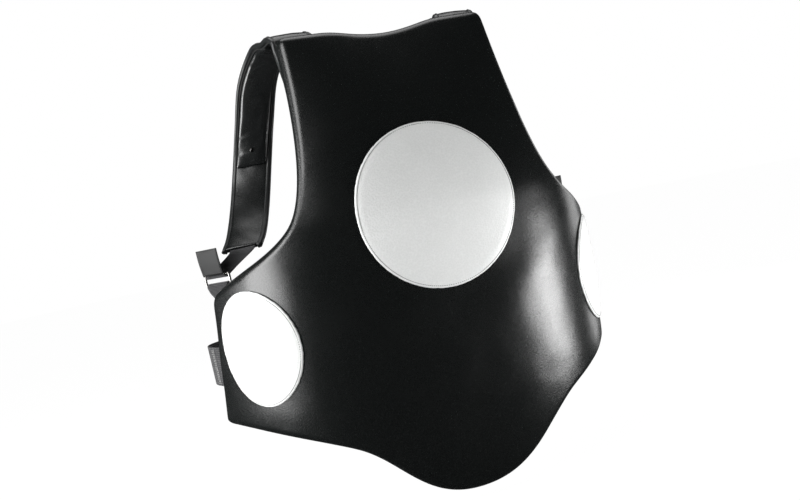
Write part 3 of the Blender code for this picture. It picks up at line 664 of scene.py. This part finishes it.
def sewn_panel(outline, profile, cell):
    """A closed panel in the pattern: its edge profile of (inset, depth) swept round the outline,
    and its two faces cut into cells so that they can bend."""
    facing = inward(outline)
    rows = []
    for inset, depth in profile:
        at = outline + facing * inset
        rows.append(np.stack((at[:, 0], np.full(len(at), depth), at[:, 1]), 1))
    made = wrapped(rows, cap=False)
    tag = made.faces.layers.int.new("cap")
    low, high = outline.min(axis=0), outline.max(axis=0)
    for face in fill_holes(made):
        face[tag] = 1
    for axis, normal in ((0, (1, 0, 0)), (1, (0, 0, 1))):
        first, last = math.ceil(low[axis] / cell), math.floor(high[axis] / cell)
        for step in range(first, last + 1):
            cut = set(face for face in made.faces if face[tag])
            for face in list(cut):
                cut.update(face.edges)
                cut.update(face.verts)
            at = (step * cell, 0, 0) if axis == 0 else (0, 0, step * cell)
            bmesh.ops.bisect_plane(made, geom=list(cut), dist=SAME_POINT, plane_co=at,
                                   plane_no=normal)
    thick = np.ptp([depth for _, depth in profile])
    join_near(made, min(cell * 0.16, 0.3 * thick))
    return made


def settle(made, face_depth=None):
    """Bends a panel from the pattern into place. face_depth gives its face's depth at s and z."""
    flat = np.array([vertex.co for vertex in made.verts])
    s, depth, z = flat[:, 0], flat[:, 1], flat[:, 2]
    if face_depth:
        depth = depth + face_depth(s, z) * np.clip(1.0 - depth / PAD_DEPTH, 0.0, 1.0)
    for vertex, point in zip(made.verts, on_pad(s, z, depth)):
        vertex.co = point
    return made


class Strip:
    """A strip of stations: centres, width directions and outward directions."""

    def __init__(self, centres, widths):
        self.centres = np.array(centres, float)
        self.widths = np.array([unit(np.array(width, float)) for width in widths])
        run = np.gradient(self.centres, axis=0)
        outs = np.cross(self.widths, run)
        self.outs = outs / np.linalg.norm(outs, axis=1)[:, None]

    def part(self, first, last):
        made = Strip.__new__(Strip)
        made.centres, made.widths, made.outs = (
            table[first:last + 1] for table in (self.centres, self.widths, self.outs))
        return made

    def finer(self, times):
        """The same strip with more stations."""
        old = np.arange(len(self.centres))
        new = np.linspace(0, old[-1], times * old[-1] + 1)
        centres, widths = (np.stack([np.interp(new, old, column) for column in table.T], 1)
                           for table in (self.centres, self.widths))
        return Strip(centres, widths)

    def at(self, across, out):
        """The line at one place of the strip's cross-section."""
        return self.centres + self.widths * across + self.outs * out

    def rows(self, section, ripple=None):
        """Cross-section points at every station. ripple(share, across, out) may change out."""
        made = []
        last = max(len(self.centres) - 1, 1)
        for number, (centre, width, out) in enumerate(zip(self.centres, self.widths, self.outs)):
            shaped = [(a, ripple(number / last, a, b) if ripple else b) for a, b in section]
            made.append([centre + width * a + out * b for a, b in shaped])
        return made


def slab(half, low, high, edge=0.0006, steps=10):
    """A flat cross-section with softened edges."""
    line = np.linspace(-half + edge, half - edge, steps + 1)
    upper, lower = ((low + high) / 2 + (high - low) * part for part in (0.22, -0.22))
    return ([(a, high) for a in line] + [(half, upper), (half, lower)]
            + [(a, low) for a in line[::-1]] + [(-half, lower), (-half, upper)])


WEBBING_SECTION = slab(WEBBING_WIDTH / 2, -WEBBING / 2, WEBBING / 2)


def stitches(name, line, outward, finish=DARK_THREAD, body="vest", pitch=0.0033, length=0.0023,
             radius=0.00042, closed=False, side=WHOLE, slot=None):
    """A row of stitches along a line on a surface, with the surface's outward directions."""
    line = np.asarray(line, float)
    joined = spaced(np.hstack((line, np.broadcast_to(outward, line.shape))), pitch, closed)
    seed = bmesh.new()
    bmesh.ops.create_uvsphere(seed, u_segments=6, v_segments=4, radius=1.0)
    bmesh.ops.scale(seed, verts=seed.verts[:], vec=(radius, radius, length / 2))
    one = as_mesh("stitch", seed)
    row = bmesh.new()
    following = np.roll(joined, -1, axis=0)
    for here, there in list(zip(joined, following))[:None if closed else -1]:
        run = Vector(there[:3] - here[:3])
        run.normalize()
        out = Vector(here[3:]).normalized()
        sideways = out.cross(run).normalized()
        turn = Matrix((sideways, run.cross(sideways), run)).transposed().to_4x4()
        turn.translation = Vector((here[:3] + there[:3]) / 2) + out * radius * 0.25
        stitch = one.copy()
        stitch.transform(turn)
        row.from_mesh(stitch)
        bpy.data.meshes.remove(stitch)
    bpy.data.meshes.remove(one)
    return piece(name, row, finish, body, slot=slot, side=side)


def crossed_box(corners, pitch):
    """The stitch line of a box with a cross in it."""
    a, b, c, d = corners
    return spaced([a, b, c, d, a, c, b, d], pitch)


def cord_along(name, points, radius, finish, body="vest", replaces=(), sides=4):
    """A round bar or piping that closes on itself, along points."""
    curve = bpy.data.curves.new(name, "CURVE")
    curve.dimensions = "3D"
    curve.bevel_depth = radius
    curve.bevel_resolution = sides
    curve.use_fill_caps = True
    spline = curve.splines.new("POLY")
    spline.points.add(len(points) - 1)
    for place, point in zip(spline.points, points):
        place.co = (*point, 1.0)
    spline.use_cyclic_u = True
    spline.use_smooth = True
    bent = placed(name + "_line", curve)
    evaluated = bent.evaluated_get(bpy.context.evaluated_depsgraph_get())
    skin = bpy.data.meshes.new_from_object(evaluated)
    bpy.data.objects.remove(bent)
    made = bmesh.new()
    made.from_mesh(skin)
    bpy.data.meshes.remove(skin)
    join_near(made)
    return piece(name, made, finish, body, replaces)


# ---- the pad

def rolled_profile():
    """The cover's edge, from its back round the side to where the strike face begins."""
    turns = np.radians(np.linspace(4, 90, 8))
    roll = [(ROLL_IN * (1 - math.cos(t)), ROLL_DOWN * (1 - math.sin(t))) for t in turns]
    return [(0.0042, PAD_DEPTH), (0.0022, PAD_DEPTH), (0.0009, PAD_DEPTH - 0.0007),
            (0.0003, PAD_DEPTH - 0.0022), (0.0, PAD_DEPTH - 0.0045)] + roll


def make_pad():
    cover = settle(sewn_panel(OUTLINE, rolled_profile(), COVER_CELL), front_depth)
    shell = piece("pad_cover", cover, BLACK, subdivide=1,
                  replaces=("outer_cover", "impact_foam", "comfort_foam"))

    front, back = PAD_DEPTH + 0.0003, LINING_BACK
    profile = [(0.003, front), (0.0, front), (0.0, back - 0.0004), (0.0004, back),
               (0.0016, back), (0.0050, back)]
    lining = settle(sewn_panel(OUTLINE + INWARD * LINING_INSET, profile, LINING_CELL))
    piece("pad_lining", lining, LINING, replaces=("inner_lining",))
    line, out = along_pad(OUTLINE + INWARD * LINING_STITCH_INSET, back)
    stitches("lining_stitches", line, -out, closed=True, slot="lining_cloth")

    line, _ = along_pad(OUTLINE + INWARD * PIPING_INSET, PIPING_DEPTH)
    cord_along("edge_piping", line, PIPING_RADIUS, BLACK_TRIM, replaces=[
        place + "_piping" for place in ("neck", "hem", "left_armhole", "right_armhole",
                                        "left_rear", "right_rear")])
    line, _ = along_pad(OUTLINE + INWARD * FLANGE_INSET, PIPING_DEPTH - 0.0022)
    cord_along("piping_flange", line, FLANGE_RADIUS, BLACK_TRIM, sides=2)


DISC_PROFILE = ((0.006, 0.0006), (0.0008, 0.0006), (0.0, -0.0004), (0.0002, -0.0015),
                (0.0010, -0.0024), (0.0018, -0.0027), (0.0026, -0.0027), (0.0033, -0.0025),
                (0.0039, -0.0025), (0.0048, -0.0029), (0.0075, -0.0034), (0.0110, -0.0037))
# Where each crease lies across a disc, its top and foot in radii, and its depth
DISC_CREASES = ((-0.031, -0.10, -0.62, 0.00070), (0.008, -0.04, -0.55, 0.00060),
                (0.042, -0.16, -0.70, 0.00058), (-0.060, 0.10, -0.45, 0.00040))


def make_disc(name, s, z, radius, seed):
    """One strike disc: a padded round of leather, stitched down inside its edge."""
    turns = np.linspace(0.0, -2 * math.pi, 145)[:-1]
    round_line = np.stack((np.cos(turns), np.sin(turns)), 1)

    def face(a, b):
        crown = 0.0022 * np.clip(1 - (np.hypot(a - s, b - z) / radius) ** 2, 0, 1)
        up = (b - z) / radius
        creases = np.zeros(len(a))
        for at, top, foot, depth in DISC_CREASES:
            middle, reach = (top + foot) / 2, (top - foot) / 2
            bow = at + 0.004 * np.sin(up * 4.0 + seed)
            creases += (depth * np.exp(-((a - s - bow) / 0.0042) ** 2)
                        * np.exp(-((up - middle) / reach) ** 4))
        return front_depth(a, b) - crown - creases

    panel = sewn_panel(np.array((s, z)) + radius * round_line, DISC_PROFILE, DISC_CELL)
    disc = piece(name + "_leather", settle(panel, face), SILVER, replaces=(name,), subdivide=1)
    ring = np.array((s, z)) + (radius - STITCH_INSET - 0.0002) * round_line
    line, out = along_pad(ring, face(ring[:, 0], ring[:, 1]) - 0.0026)
    stitches(name + "_stitches", line, out, GREY_THREAD, pitch=0.0034, length=0.0021,
             radius=0.00045, closed=True)


# ---- the shoulder straps

STRAP_STEPS = 8


def strap_strip():
    """The left strap from behind the chest, over the shoulder and down to its ring."""
    seat = PAD_BACK + STRAP_SEAT_ROOM + STRAP_HALF
    foot = at_pad(STRAP_SEAT_S, -0.062, LINING_BACK + STRAP_HALF + 0.0012)
    brim = at_pad(STRAP_SEAT_S, -0.016, seat)
    middle = at_pad(STRAP_SEAT_S, -0.039, (seat + LINING_BACK + STRAP_HALF + 0.0016) / 2)
    points = [
        foot, middle, brim,
        brim + Vector((0.001, 0.004, 0.017)),
        brim + Vector((0.005, 0.019, 0.026)),
        brim + Vector((0.010, 0.045, 0.026)),
        (0.134, 0.040, 0.003), (0.154, 0.092, -0.032), (0.168, 0.128, -0.088),
        (0.185, 0.130, -0.150), (0.204, 0.104, -0.208), (0.221, 0.072, -0.248),
        (0.234, 0.054, -0.268),
    ]
    centres = smooth_path(points, STRAP_STEPS)
    reach = STRAP_WIDTH / 2
    seat_run = (at_pad(STRAP_SEAT_S + reach, SHOULDER_Z, seat)
                - at_pad(STRAP_SEAT_S - reach, SHOULDER_Z, seat))
    seat_turn = math.atan2(seat_run.y, seat_run.x)
    share = np.linspace(0.0, 1.0, len(centres))
    turn = seat_turn + (STRAP_FOOT_TURN - seat_turn) * np.maximum(share - 0.25, 0.0) / 0.75
    return Strip(centres, np.stack((np.cos(turn), np.sin(turn), 0 * turn), 1))


def strap_section():
    """The strap's cross-section: thick in the middle, thin under the bindings."""
    line = np.linspace(-1.0, 1.0, 19)
    half = list(zip(line * STRAP_SKIN_HALF, 0.0026 + 0.0020 * (1 - line ** 2) ** 0.7))
    return half + [(-a, -b) for a, b in half]


def binding_section(sign):
    """The binding's cross-section round one edge of the strap."""
    turns = np.radians(np.linspace(90, -90, 9))
    outer = [(0.0268 + 0.0034 * math.cos(t), 0.0037 * math.sin(t)) for t in turns]
    inner = [(0.0238, -0.0040), (0.0230, -0.0036), (0.0230, 0.0036), (0.0238, 0.0040)]
    section = [(a * sign, b) for a, b in outer + inner]
    return section if sign > 0 else section[::-1]


# Where each fold lies along the sleeve, how far it reaches, and its height
SLEEVE_FOLDS = ((0.20, 0.016, 0.0017), (0.27, 0.013, 0.0014), (0.345, 0.018, 0.0012),
                (0.56, 0.022, 0.0007), (0.80, 0.020, 0.0009))
RIVET_PROFILE = ((0.0, 0.0014), (0.0012, 0.0013), (0.0024, 0.0009), (0.0032, 0.0003),
                 (0.0035, -0.0008), (0.0, -0.0008))


def sleeve_section():
    """Flat against the strap and domed below it."""
    line = np.linspace(-1.0, 1.0, 21)
    rise = 0.30 + 0.70 * (1 - np.abs(line) ** 2.4) ** 0.5
    return [(a * SLEEVE_HALF, SLEEVE_RISE * r) for a, r in zip(line, rise)] + [
        (a * SLEEVE_HALF * 0.985, 0.0) for a in line[::-1]]


def rivet_dome(centre, out):
    """The rivet's cap on the sleeve."""
    dome = bmesh.new()
    points = [dome.verts.new((x, 0.0, z)) for x, z in RIVET_PROFILE]
    line = [dome.edges.new(pair) for pair in zip(points, points[1:])]
    bmesh.ops.spin(dome, geom=points + line, cent=(0, 0, 0), axis=(0, 0, 1), angle=2 * math.pi,
                   steps=24, use_merge=True)
    join_near(dome)
    turn = Vector((0, 0, 1)).rotation_difference(out).to_matrix().to_4x4()
    turn.translation = centre + out * (STRAP_HALF + SLEEVE_RISE + 0.0003)
    bmesh.ops.transform(dome, matrix=turn, verts=dome.verts[:])
    return dome


def make_strap(side):
    strap = strap_strip()
    lift = 17.0 if side == LEFT else 29.0

    def pucker(share, a, b):
        return b * (1.0 + 0.09 * noise.noise(Vector((a * 60.0, share * 36.0, lift))))

    body = piece("strap_body", wrapped(strap.rows(strap_section(), pucker)), BLACK, side=side,
                 replaces=("strap_cover", "strap_foam", "strap_lining"), subdivide=1)
    for place, sign in (("outer", 1), ("inner", -1)):
        piece(f"strap_{place}_edging", wrapped(strap.rows(binding_section(sign), pucker)),
              BLACK_TRIM, replaces=(f"strap_{place}_binding",), side=side)
        for face, out in (("top", 1), ("under", -1)):
            line = strap.at(STRAP_STITCH_AT * sign, STRAP_STITCH_RISE * out)
            stitches(f"strap_{place}_{face}_stitches", line, strap.outs * out, side=side)

    first, last = 5 * STRAP_STEPS, 9 * STRAP_STEPS
    under = -STRAP_HALF + 0.0004

    def fold(share, a, rise):
        taper = 0.35 + 0.65 * min(min(share, 1 - share) / 0.07, 1.0) ** 0.5
        ripple = 0.0006 * noise.noise(Vector((a * 80.0, share * 14.0, lift)))
        for at, width, depth in SLEEVE_FOLDS:
            skew = at + 0.02 * math.sin(a * 90.0 + lift + at * 40.0)
            ripple += depth * math.exp(-((share - skew) / width) ** 2)
        return under - rise * taper + ripple * min(rise / SLEEVE_RISE, 1.0)

    sleeve = strap.part(first, last).finer(3).rows(sleeve_section(), fold)
    pad = piece("sleeve", wrapped(sleeve), SLEEVE_SKIN, replaces=("shoulder_sleeve",),
                subdivide=1, side=side)
    spot = last - 3
    piece("rivet_cap", rivet_dome(Vector(strap.centres[spot]), -Vector(strap.outs[spot])),
          DARK_STEEL, replaces=("sleeve_rivet",), side=side)

    foot = len(strap.centres) - 1
    loop = strap.part(foot - 2 * STRAP_STEPS, foot - STRAP_STEPS // 2)
    piece("loop_pad", wrapped(loop.rows(slab(0.0190, 0.0042, 0.0060))), LOOPS,
          replaces=("strap_loop_patch",), side=side)
    for place, sign in (("outer", 1), ("inner", -1)):
        stitches(f"loop_pad_{place}_stitches", loop.at(LOOP_STITCH_HALF * sign, 0.0061),
                 loop.outs, side=side, slot="hook_and_loop")

    box = crossed_box([strap.at(SEAT_BOX_HALF * across, 0)[station] for across, station in (
        (1, 2), (1, 14), (-1, 14), (-1, 2))], 0.003)
    for face, sign in (("under", -1), ("top", 1)):
        out = strap.outs[8] * sign
        stitches(f"seat_{face}_stitches", box + out * 0.0046, out, side=side)
    return strap


# ---- rings, webbing and flaps

def ring_frame():
    """The left ring's centre, bar direction and inward direction."""
    bar = Vector((0.72, 0.69, 0.0)).normalized()
    inwards = Vector((-bar.y, bar.x, 0.0))
    centre = at_pad(RING_S, RING_Z, PAD_BACK + 0.008) + Vector((0, 0, RING_SPAN / 2))
    return centre, bar, inwards


def arc(centre, inwards, start, end, steps):
    """Points of webbing round a bar: 0 degrees lies inwards and 90 degrees lies up."""
    turns = np.radians(np.linspace(start, end, steps + 1))
    return [np.array(centre + inwards * FOLD_RADIUS * math.cos(t)
                     + Vector((0, 0, FOLD_RADIUS * math.sin(t)))) for t in turns]


def make_ring(side):
    prefix, sign = side
    centre, bar, _ = ring_frame()
    half_length = WEBBING_WIDTH / 2 + 0.0016 + RING_WIRE
    half_height, corner = RING_SPAN / 2, 0.004
    path = []
    for quarter in range(4):
        across = half_length - corner if quarter in (0, 3) else corner - half_length
        up = half_height - corner if quarter in (0, 1) else corner - half_height
        for step in range(8):
            turn = math.radians(90 * quarter + 90 * step / 7)
            point = (centre + bar * (across + corner * math.cos(turn))
                     + Vector((0, 0, up + corner * math.sin(turn))))
            path.append((point.x * sign, point.y, point.z))
    cord_along(prefix + "ring_wire", path, RING_WIRE, STEEL, prefix + "ring", (prefix + "ring",),
               sides=6)


def make_anchor(side):
    """The webbing that holds the ring: up behind the flank, round the lower bar and back down."""
    centre, bar, inwards = ring_frame()
    depth = PAD_BACK + 0.0003 + WEBBING / 2

    def behind(s, depth):
        return at_pad(s, RING_Z - ANCHOR_DROP, depth)

    seat, sewn = behind(ANCHOR_S, depth), behind(ANCHOR_S, depth - 0.0020)
    ply = behind(ANCHOR_S, depth + WEBBING + 0.0006) - seat
    loop = arc(centre - Vector((0, 0, RING_SPAN / 2)), inwards, 180, 0, 14)
    middle = seat.lerp(Vector(loop[0]), 0.5)
    points = [sewn, middle, Vector(loop[0]) - Vector((0, 0, 0.004))]
    back = [middle + ply * 2.0, seat + ply]
    centres = np.vstack((smooth_path(points, 4)[:-1], loop, smooth_path([loop[-1], *back], 4)[1:]))
    tangent = (behind(ANCHOR_S + 0.01, depth) - seat).normalized()
    low = centres[:, 2].min()
    share = np.clip((centres[:, 2] - low) / (loop[0][2] - 0.004 - low), 0, 1)
    strip = Strip(centres, [tangent.lerp(bar, float(s)) for s in share])
    piece("ring_holder", wrapped(strip.rows(WEBBING_SECTION)), WEB, replaces=("ring_anchor",),
          side=side)

    tail = strip.part(len(centres) - 7, len(centres) - 1)
    sign = np.sign(np.dot(tail.outs[2], np.array(ply)))
    face = sign * (WEBBING / 2 + 0.0001)
    box = crossed_box([tail.at(BOX_HALF * across, face)[station] for across, station in (
        (1, -6), (1, -1), (-1, -1), (-1, -6))], SHORT_PITCH)
    stitches("ring_holder_stitches", box, tail.outs[2] * sign, side=side, pitch=SHORT_PITCH,
             length=SHORT_STITCH, slot="black_webbing")


def make_flap(side, strap):
    """The strap's webbing through the ring, and the leather flap that folds back up."""
    prefix, turned = side
    centre, bar, inwards = ring_frame()
    upper = centre + Vector((0, 0, RING_SPAN / 2))
    end = Vector(strap.centres[-1])
    run = Vector(strap.centres[-1] - strap.centres[-3]).normalized()
    loop = arc(upper, inwards, -45, -176, 16)
    lead = smooth_path([end - run * 0.004, end + run * 0.006, Vector(loop[0]).lerp(end, 0.35),
                        loop[0]], 5)
    centres = np.vstack((lead[:-1], loop))
    share = np.clip(np.arange(len(centres)) / (len(lead) - 1), 0, 1)
    webbing = Strip(centres, [Vector(strap.widths[-1]).lerp(bar, float(s)) for s in share])
    band = piece("ring_webbing", wrapped(webbing.rows(WEBBING_SECTION)), WEB,
                 replaces=("strap_webbing",), side=side, ride=False)

    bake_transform(band)

    up = inwards * math.sin(FLAP_LEAN) + Vector((0, 0, math.cos(FLAP_LEAN)))
    outward = Vector((0, 0, math.sin(FLAP_LEAN))) - inwards * math.cos(FLAP_LEAN)
    root = upper + outward * (FOLD_RADIUS + WEBBING / 2 + 0.0006) + up * 0.001
    sag = [root + up * (FLAP_LENGTH * t) + outward * (0.0012 * math.sin(math.pi * t))
           for t in np.linspace(0.0, 1.0, 15)]
    flap = Strip(sag, [bar] * len(sag))
    sign = 1.0 if Vector(flap.outs[3]).dot(outward) > 0 else -1.0
    half = WEBBING_WIDTH / 2

    def bowed(share, a, b):
        return b + sign * 0.0008 * (a / half) ** 2 * share

    section = slab(half, *sorted((0.0, sign * 0.0020)), edge=0.0009, steps=12)
    piece("flap_leather", wrapped(flap.rows(section, bowed)), TAB_SKIN, prefix + "flap",
          ("flap",), side=side)
    section = slab(half - 0.003, *sorted((-sign * 0.0002, -sign * 0.0015)))
    piece("flap_hooks", wrapped(flap.part(5, 13).rows(section, bowed)), HOOKS, prefix + "flap",
          ("flap_hook",), side=side)
    rim, face = half - 0.0032, sign * 0.0021
    line = np.vstack((flap.at(rim, face)[1:-1], flap.at(-rim, face)[-2:0:-1]))
    stitches("flap_stitches", line, flap.outs[3] * sign, body=prefix + "flap", side=side,
             pitch=SHORT_PITCH, length=SHORT_STITCH, closed=True)


# ---- the waist belt

def pad_patch(name, first, last, half, low, high, finish, replaces, body="vest", side=WHOLE,
              corner=0.003):
    """A flat patch that follows one flank at the belt's height."""
    turns = np.radians(np.arange(0, 91, 30))
    line = []
    for s, up, start in ((last, half, 0), (last, -half, -90), (first, -half, -180),
                         (first, half, -270)):
        at = np.array((s - math.copysign(corner, s - (first + last) / 2),
                       BELT_Z + up - math.copysign(corner, up)))
        for t in turns[::-1]:
            angle = math.radians(start) + t
            line.append(at + corner * np.array((math.cos(angle), math.sin(angle))))
    outline = spaced(line, 0.003, closed=True)
    thick = high - low
    profile = [(0.0006, low), (0.0, low + thick * 0.3), (0.0, low + thick * 0.7), (0.0006, high)]
    made = sewn_panel(outline, profile, PATCH_CELL)
    cloth = made.loops.layers.uv.verify()
    for skin in made.faces:
        for loop in skin.loops:
            loop[cloth].uv = (loop.vert.co.z - BELT_Z, loop.vert.co.x)
    piece(name, settle(made), finish, body, replaces, side=side)


def box_stitch(name, first, last, half, depth, **kept):
    """A box with a cross in it, sewn through the belt on one flank."""
    corners = [(s, BELT_Z + up) for s, up in (
        (first, half), (last, half), (last, -half), (first, -half))]
    line, out = along_pad(crossed_box(corners, 0.003), depth)
    stitches(name, line, -out, **kept)


def belt_line():
    """The belt's centre line from the right flank round the back to the left flank, the left
    hinge's place, the way on past it and the belt's depth."""
    depth = PAD_BACK + 0.0008 + BELT_THICKNESS / 2
    left = at_pad(BELT_HINGE_S, BELT_Z, depth)
    away = at_pad(BELT_HINGE_S + 0.01, BELT_Z, depth) - left
    away = np.array((away.x, away.y)) / math.hypot(away.x, away.y)
    start = np.array((-left.x, left.y)) + away * (-0.0014, 0.0014)
    finish = np.array((left.x, left.y)) + away * 0.0014
    back = np.array((0.0, BELT_BACK_Y))
    near = bezier(start, start + (-BELT_BULGE, BELT_RUN_OUT), (-BELT_BACK_REACH, BELT_BACK_Y),
                  back, 60)
    far = bezier(back, (BELT_BACK_REACH, BELT_BACK_Y), finish + (BELT_BULGE, BELT_RUN_OUT),
                 finish, 60)
    return spaced(np.vstack((near, far[1:])), 0.005), left, away, depth


def upright(line):
    """A strip that stands on its edge along a line seen from above."""
    centres = np.hstack((line, np.full((len(line), 1), BELT_Z)))
    return Strip(centres, [(0, 0, 1)] * len(line))


def make_belt():
    line, left, away, depth = belt_line()
    half, thick = BELT_WIDTH / 2, BELT_THICKNESS / 2
    front, back, floor = depth - thick, depth + thick, LINING_BACK + 0.0003
    seam, hinge = BELT_HINGE_S - 0.034, BELT_HINGE_S

    def band(name, strip, finish, scale=1.0, **kept):
        section = slab(half, -thick * scale, thick * scale, steps=24)
        return piece(name, wrapped(strip.rows(section)), finish, **kept)

    def bend(sign, reach):
        """A point of the belt's line, a distance past one of its hinges."""
        return (sign * (left.x + away[0] * reach), left.y + away[1] * reach, BELT_Z)

    pad_patch("belt_sewn_end", BELT_TAB_S, seam + 0.006, half, floor, back, WEB, ("belt_anchor",),
              side=TURNED)
    box_stitch("belt_sewn_end_stitches", BELT_TAB_S + 0.004, seam - 0.001, half - 0.005,
               back + 0.0001, side=TURNED, slot="black_webbing")
    inner = on_pad(np.linspace(-seam + 0.001, -hinge + 0.002, 9), BELT_Z, depth)[:, :2]
    root = band("belt_root", upright(np.vstack((inner, line[:9]))), ELASTIC,
                replaces=("belt_anchor_end",), ride=False)
    bend(-1, 0)
    bend(-1, BELT_BLEND)
    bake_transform(root)

    elastic = upright(line[6:-6])
    band("belt_elastic", elastic, ELASTIC, 0.9, body="waist_belt", replaces=("waist_belt",))
    outer = float(np.sign(elastic.outs[3] @ np.array((-1.0, 0.2, 0.0))))
    across = np.linspace(-half + 0.003, half - 0.003, 20)
    for name, place in (("near", upright(line[6:9])), ("far", upright(line[-9:-6]))):
        centre, out = place.centres[1], place.outs[1] * outer
        for row, shift in (("a", 0.0), ("b", 0.004)):
            run = unit(place.centres[2] - place.centres[0]) * shift
            bar = centre + run + np.outer(across, (0, 0, 1)) + out * (thick + 0.0012)
            # Real bar-tack stitches in pale thread, whose colour is a painted glint
            stitches(f"belt_{name}_bartack_{row}", bar, out, PALE_GLINT_THREAD, "waist_belt",
                     pitch=SHORT_PITCH, length=0.0022)

    inner = on_pad(np.linspace(hinge - 0.002, hinge - 0.012, 4), BELT_Z, depth)[:, :2]
    lead = band("belt_tab_lead", upright(np.vstack((line[-9:], inner))), WEB, ride=False)
    bend(1, BELT_BLEND)
    bend(1, 0)
    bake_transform(lead)

    pad_patch("belt_loop_pad", BELT_TAB_S, seam, half, floor, front - 0.0004, LOOPS,
              ("belt_loop_patch",))
    pad_patch("belt_tab_hooks", BELT_TAB_S, hinge - 0.0014, half, front, back, HOOKS,
              ("belt_hook_tab",), "belt_tab")
    box_stitch("belt_tab_stitches", BELT_TAB_S + 0.004, hinge - 0.006, half - 0.005,
               back + 0.0001, body="belt_tab", slot="hook_and_loop")
    pad_patch("belt_pull_leather", BELT_TAB_S - 0.026, BELT_TAB_S + 0.004, half - 0.010, front,
              back + 0.0004, BLACK_TRIM, ("belt_pull_tab",), "belt_tab", corner=0.006)


# ---- floor, light and camera

MIDDLE = (0.0, -0.05, -0.32)
# Each lamp's place, what it is aimed at, its two sizes and its power
LAMPS = {"left box": ((-1.6, 0.05, -0.2), MIDDLE, 0.8, 1.2, 32),
         "low window": ((0.98, -0.62, -0.66), (0.14, -0.14, -0.42), 0.46, 0.45, 12),
         "left high box": ((-1.3, -0.75, 0.9), MIDDLE, 0.9, 0.9, 20),
         "right rim box": ((1.5, 0.60, -0.3), MIDDLE, 0.5, 1.2, 3.5),
         "top box": ((0.1, 0.35, 1.25), MIDDLE, 1.3, 0.9, 8)}
FLOOR_Z, FLOOR_RADIUS, FLOOR_GLOW, FLOOR_SHARE = -0.668, 9.0, 1.03, 0.96
# The camera's turn, its height over what it looks at and its roll, in degrees
CAMERA_TURNS, CAMERA_AIM, CAMERA_DISTANCE = (-17.16, 5.99, 11.746), (0.0, -0.06, -0.365), 1.1222


def make_floor():
    ground = bmesh.new()
    bmesh.ops.create_circle(ground, cap_ends=True, radius=FLOOR_RADIUS, segments=96)
    bmesh.ops.translate(ground, verts=ground.verts[:], vec=(0, 0, FLOOR_Z))
    skin = as_mesh("floor", ground)
    paint = Paint("pale floor", Roughness=0.9, Specular_IOR_Level=0.1)
    tone = paint.mix(paint.noise(paint.place(), 3.0), (0.92, 0.92, 0.92), (0.94, 0.94, 0.94))
    skin.materials.append(paint.finish(tone))
    glow = paint.node("Emission", {}, {"Color": (FLOOR_GLOW, FLOOR_GLOW, FLOOR_GLOW, 1.0)})
    seen = paint.node("LightPath", {}, {}, "Is Camera Ray") * FLOOR_SHARE
    lit = paint.node("MixShader", {}, {0: seen, 2: glow})
    paint.tree.links.new(paint.shader.outputs[0], lit.socket.node.inputs[1])
    paint.tree.links.new(lit.socket, paint.tree.nodes["Material Output"].inputs[0])
    ground = placed("floor", skin)
    ground.visible_glossy = ground.visible_shadow = False


def make_light():
    """The lamps, and a world that is seen white but hardly lights the part."""
    SCENE.view_settings.view_transform = "Standard"
    world = bpy.data.worlds.new("studio")
    SCENE.world = world
    world.use_nodes = True
    nodes, links = world.node_tree.nodes, world.node_tree.links
    seen, cast = nodes["Background"], nodes.new("ShaderNodeBackground")
    seen.inputs[0].default_value = (1.0, 1.0, 1.0, 1)
    cast.inputs[0].default_value = (0.035, 0.035, 0.036, 1)
    ray, mixed = nodes.new("ShaderNodeLightPath"), nodes.new("ShaderNodeMixShader")
    links.new(ray.outputs["Is Camera Ray"], mixed.inputs[0])
    links.new(cast.outputs[0], mixed.inputs[1])
    links.new(seen.outputs[0], mixed.inputs[2])
    links.new(mixed.outputs[0], nodes["World Output"].inputs[0])

    for name, (place, aim, width, height, power) in LAMPS.items():
        lamp = bpy.data.lights.new(name, "AREA")
        lamp.shape, lamp.size, lamp.size_y, lamp.energy = "RECTANGLE", width, height, power
        obj = placed(name, lamp)
        obj.location = place
        obj.visible_camera = False
        obj.rotation_euler = (Vector(aim) - Vector(place)).to_track_quat("-Z", "Y").to_euler()


def make_camera():
    lens = bpy.data.cameras.new("camera")
    lens.lens, lens.sensor_width = 36.0, 36.0
    lens.shift_x, lens.shift_y = -0.0389, 0.0389
    lens.clip_start, lens.clip_end = 0.05, 60.0
    yaw, rise, roll = map(math.radians, CAMERA_TURNS)
    obj = placed("camera", lens)
    obj.matrix_world = (Matrix.Translation(CAMERA_AIM) @ Matrix.Rotation(yaw, 4, "Z")
                        @ Matrix.Rotation(math.pi / 2 - rise, 4, "X")
                        @ Matrix.Rotation(-roll, 4, "Z")
                        @ Matrix.Translation((0.0, 0.0, CAMERA_DISTANCE)))
    SCENE.camera = obj


make_pad()
make_disc("front_disc", 0.0, DISC_Z, FRONT_DISC_RADIUS, 0.4)
for flank in (LEFT, RIGHT):
    word, sense = flank
    make_disc(word + "flank_disc", sense * FLANK_DISC[0], FLANK_DISC[1], FLANK_DISC_RADIUS,
              1.7 + sense)
    shoulder_strap = make_strap(flank)
    make_ring(flank)
    make_anchor(flank)
    make_flap(flank, shoulder_strap)
make_belt()
make_floor()
make_light()
make_camera()
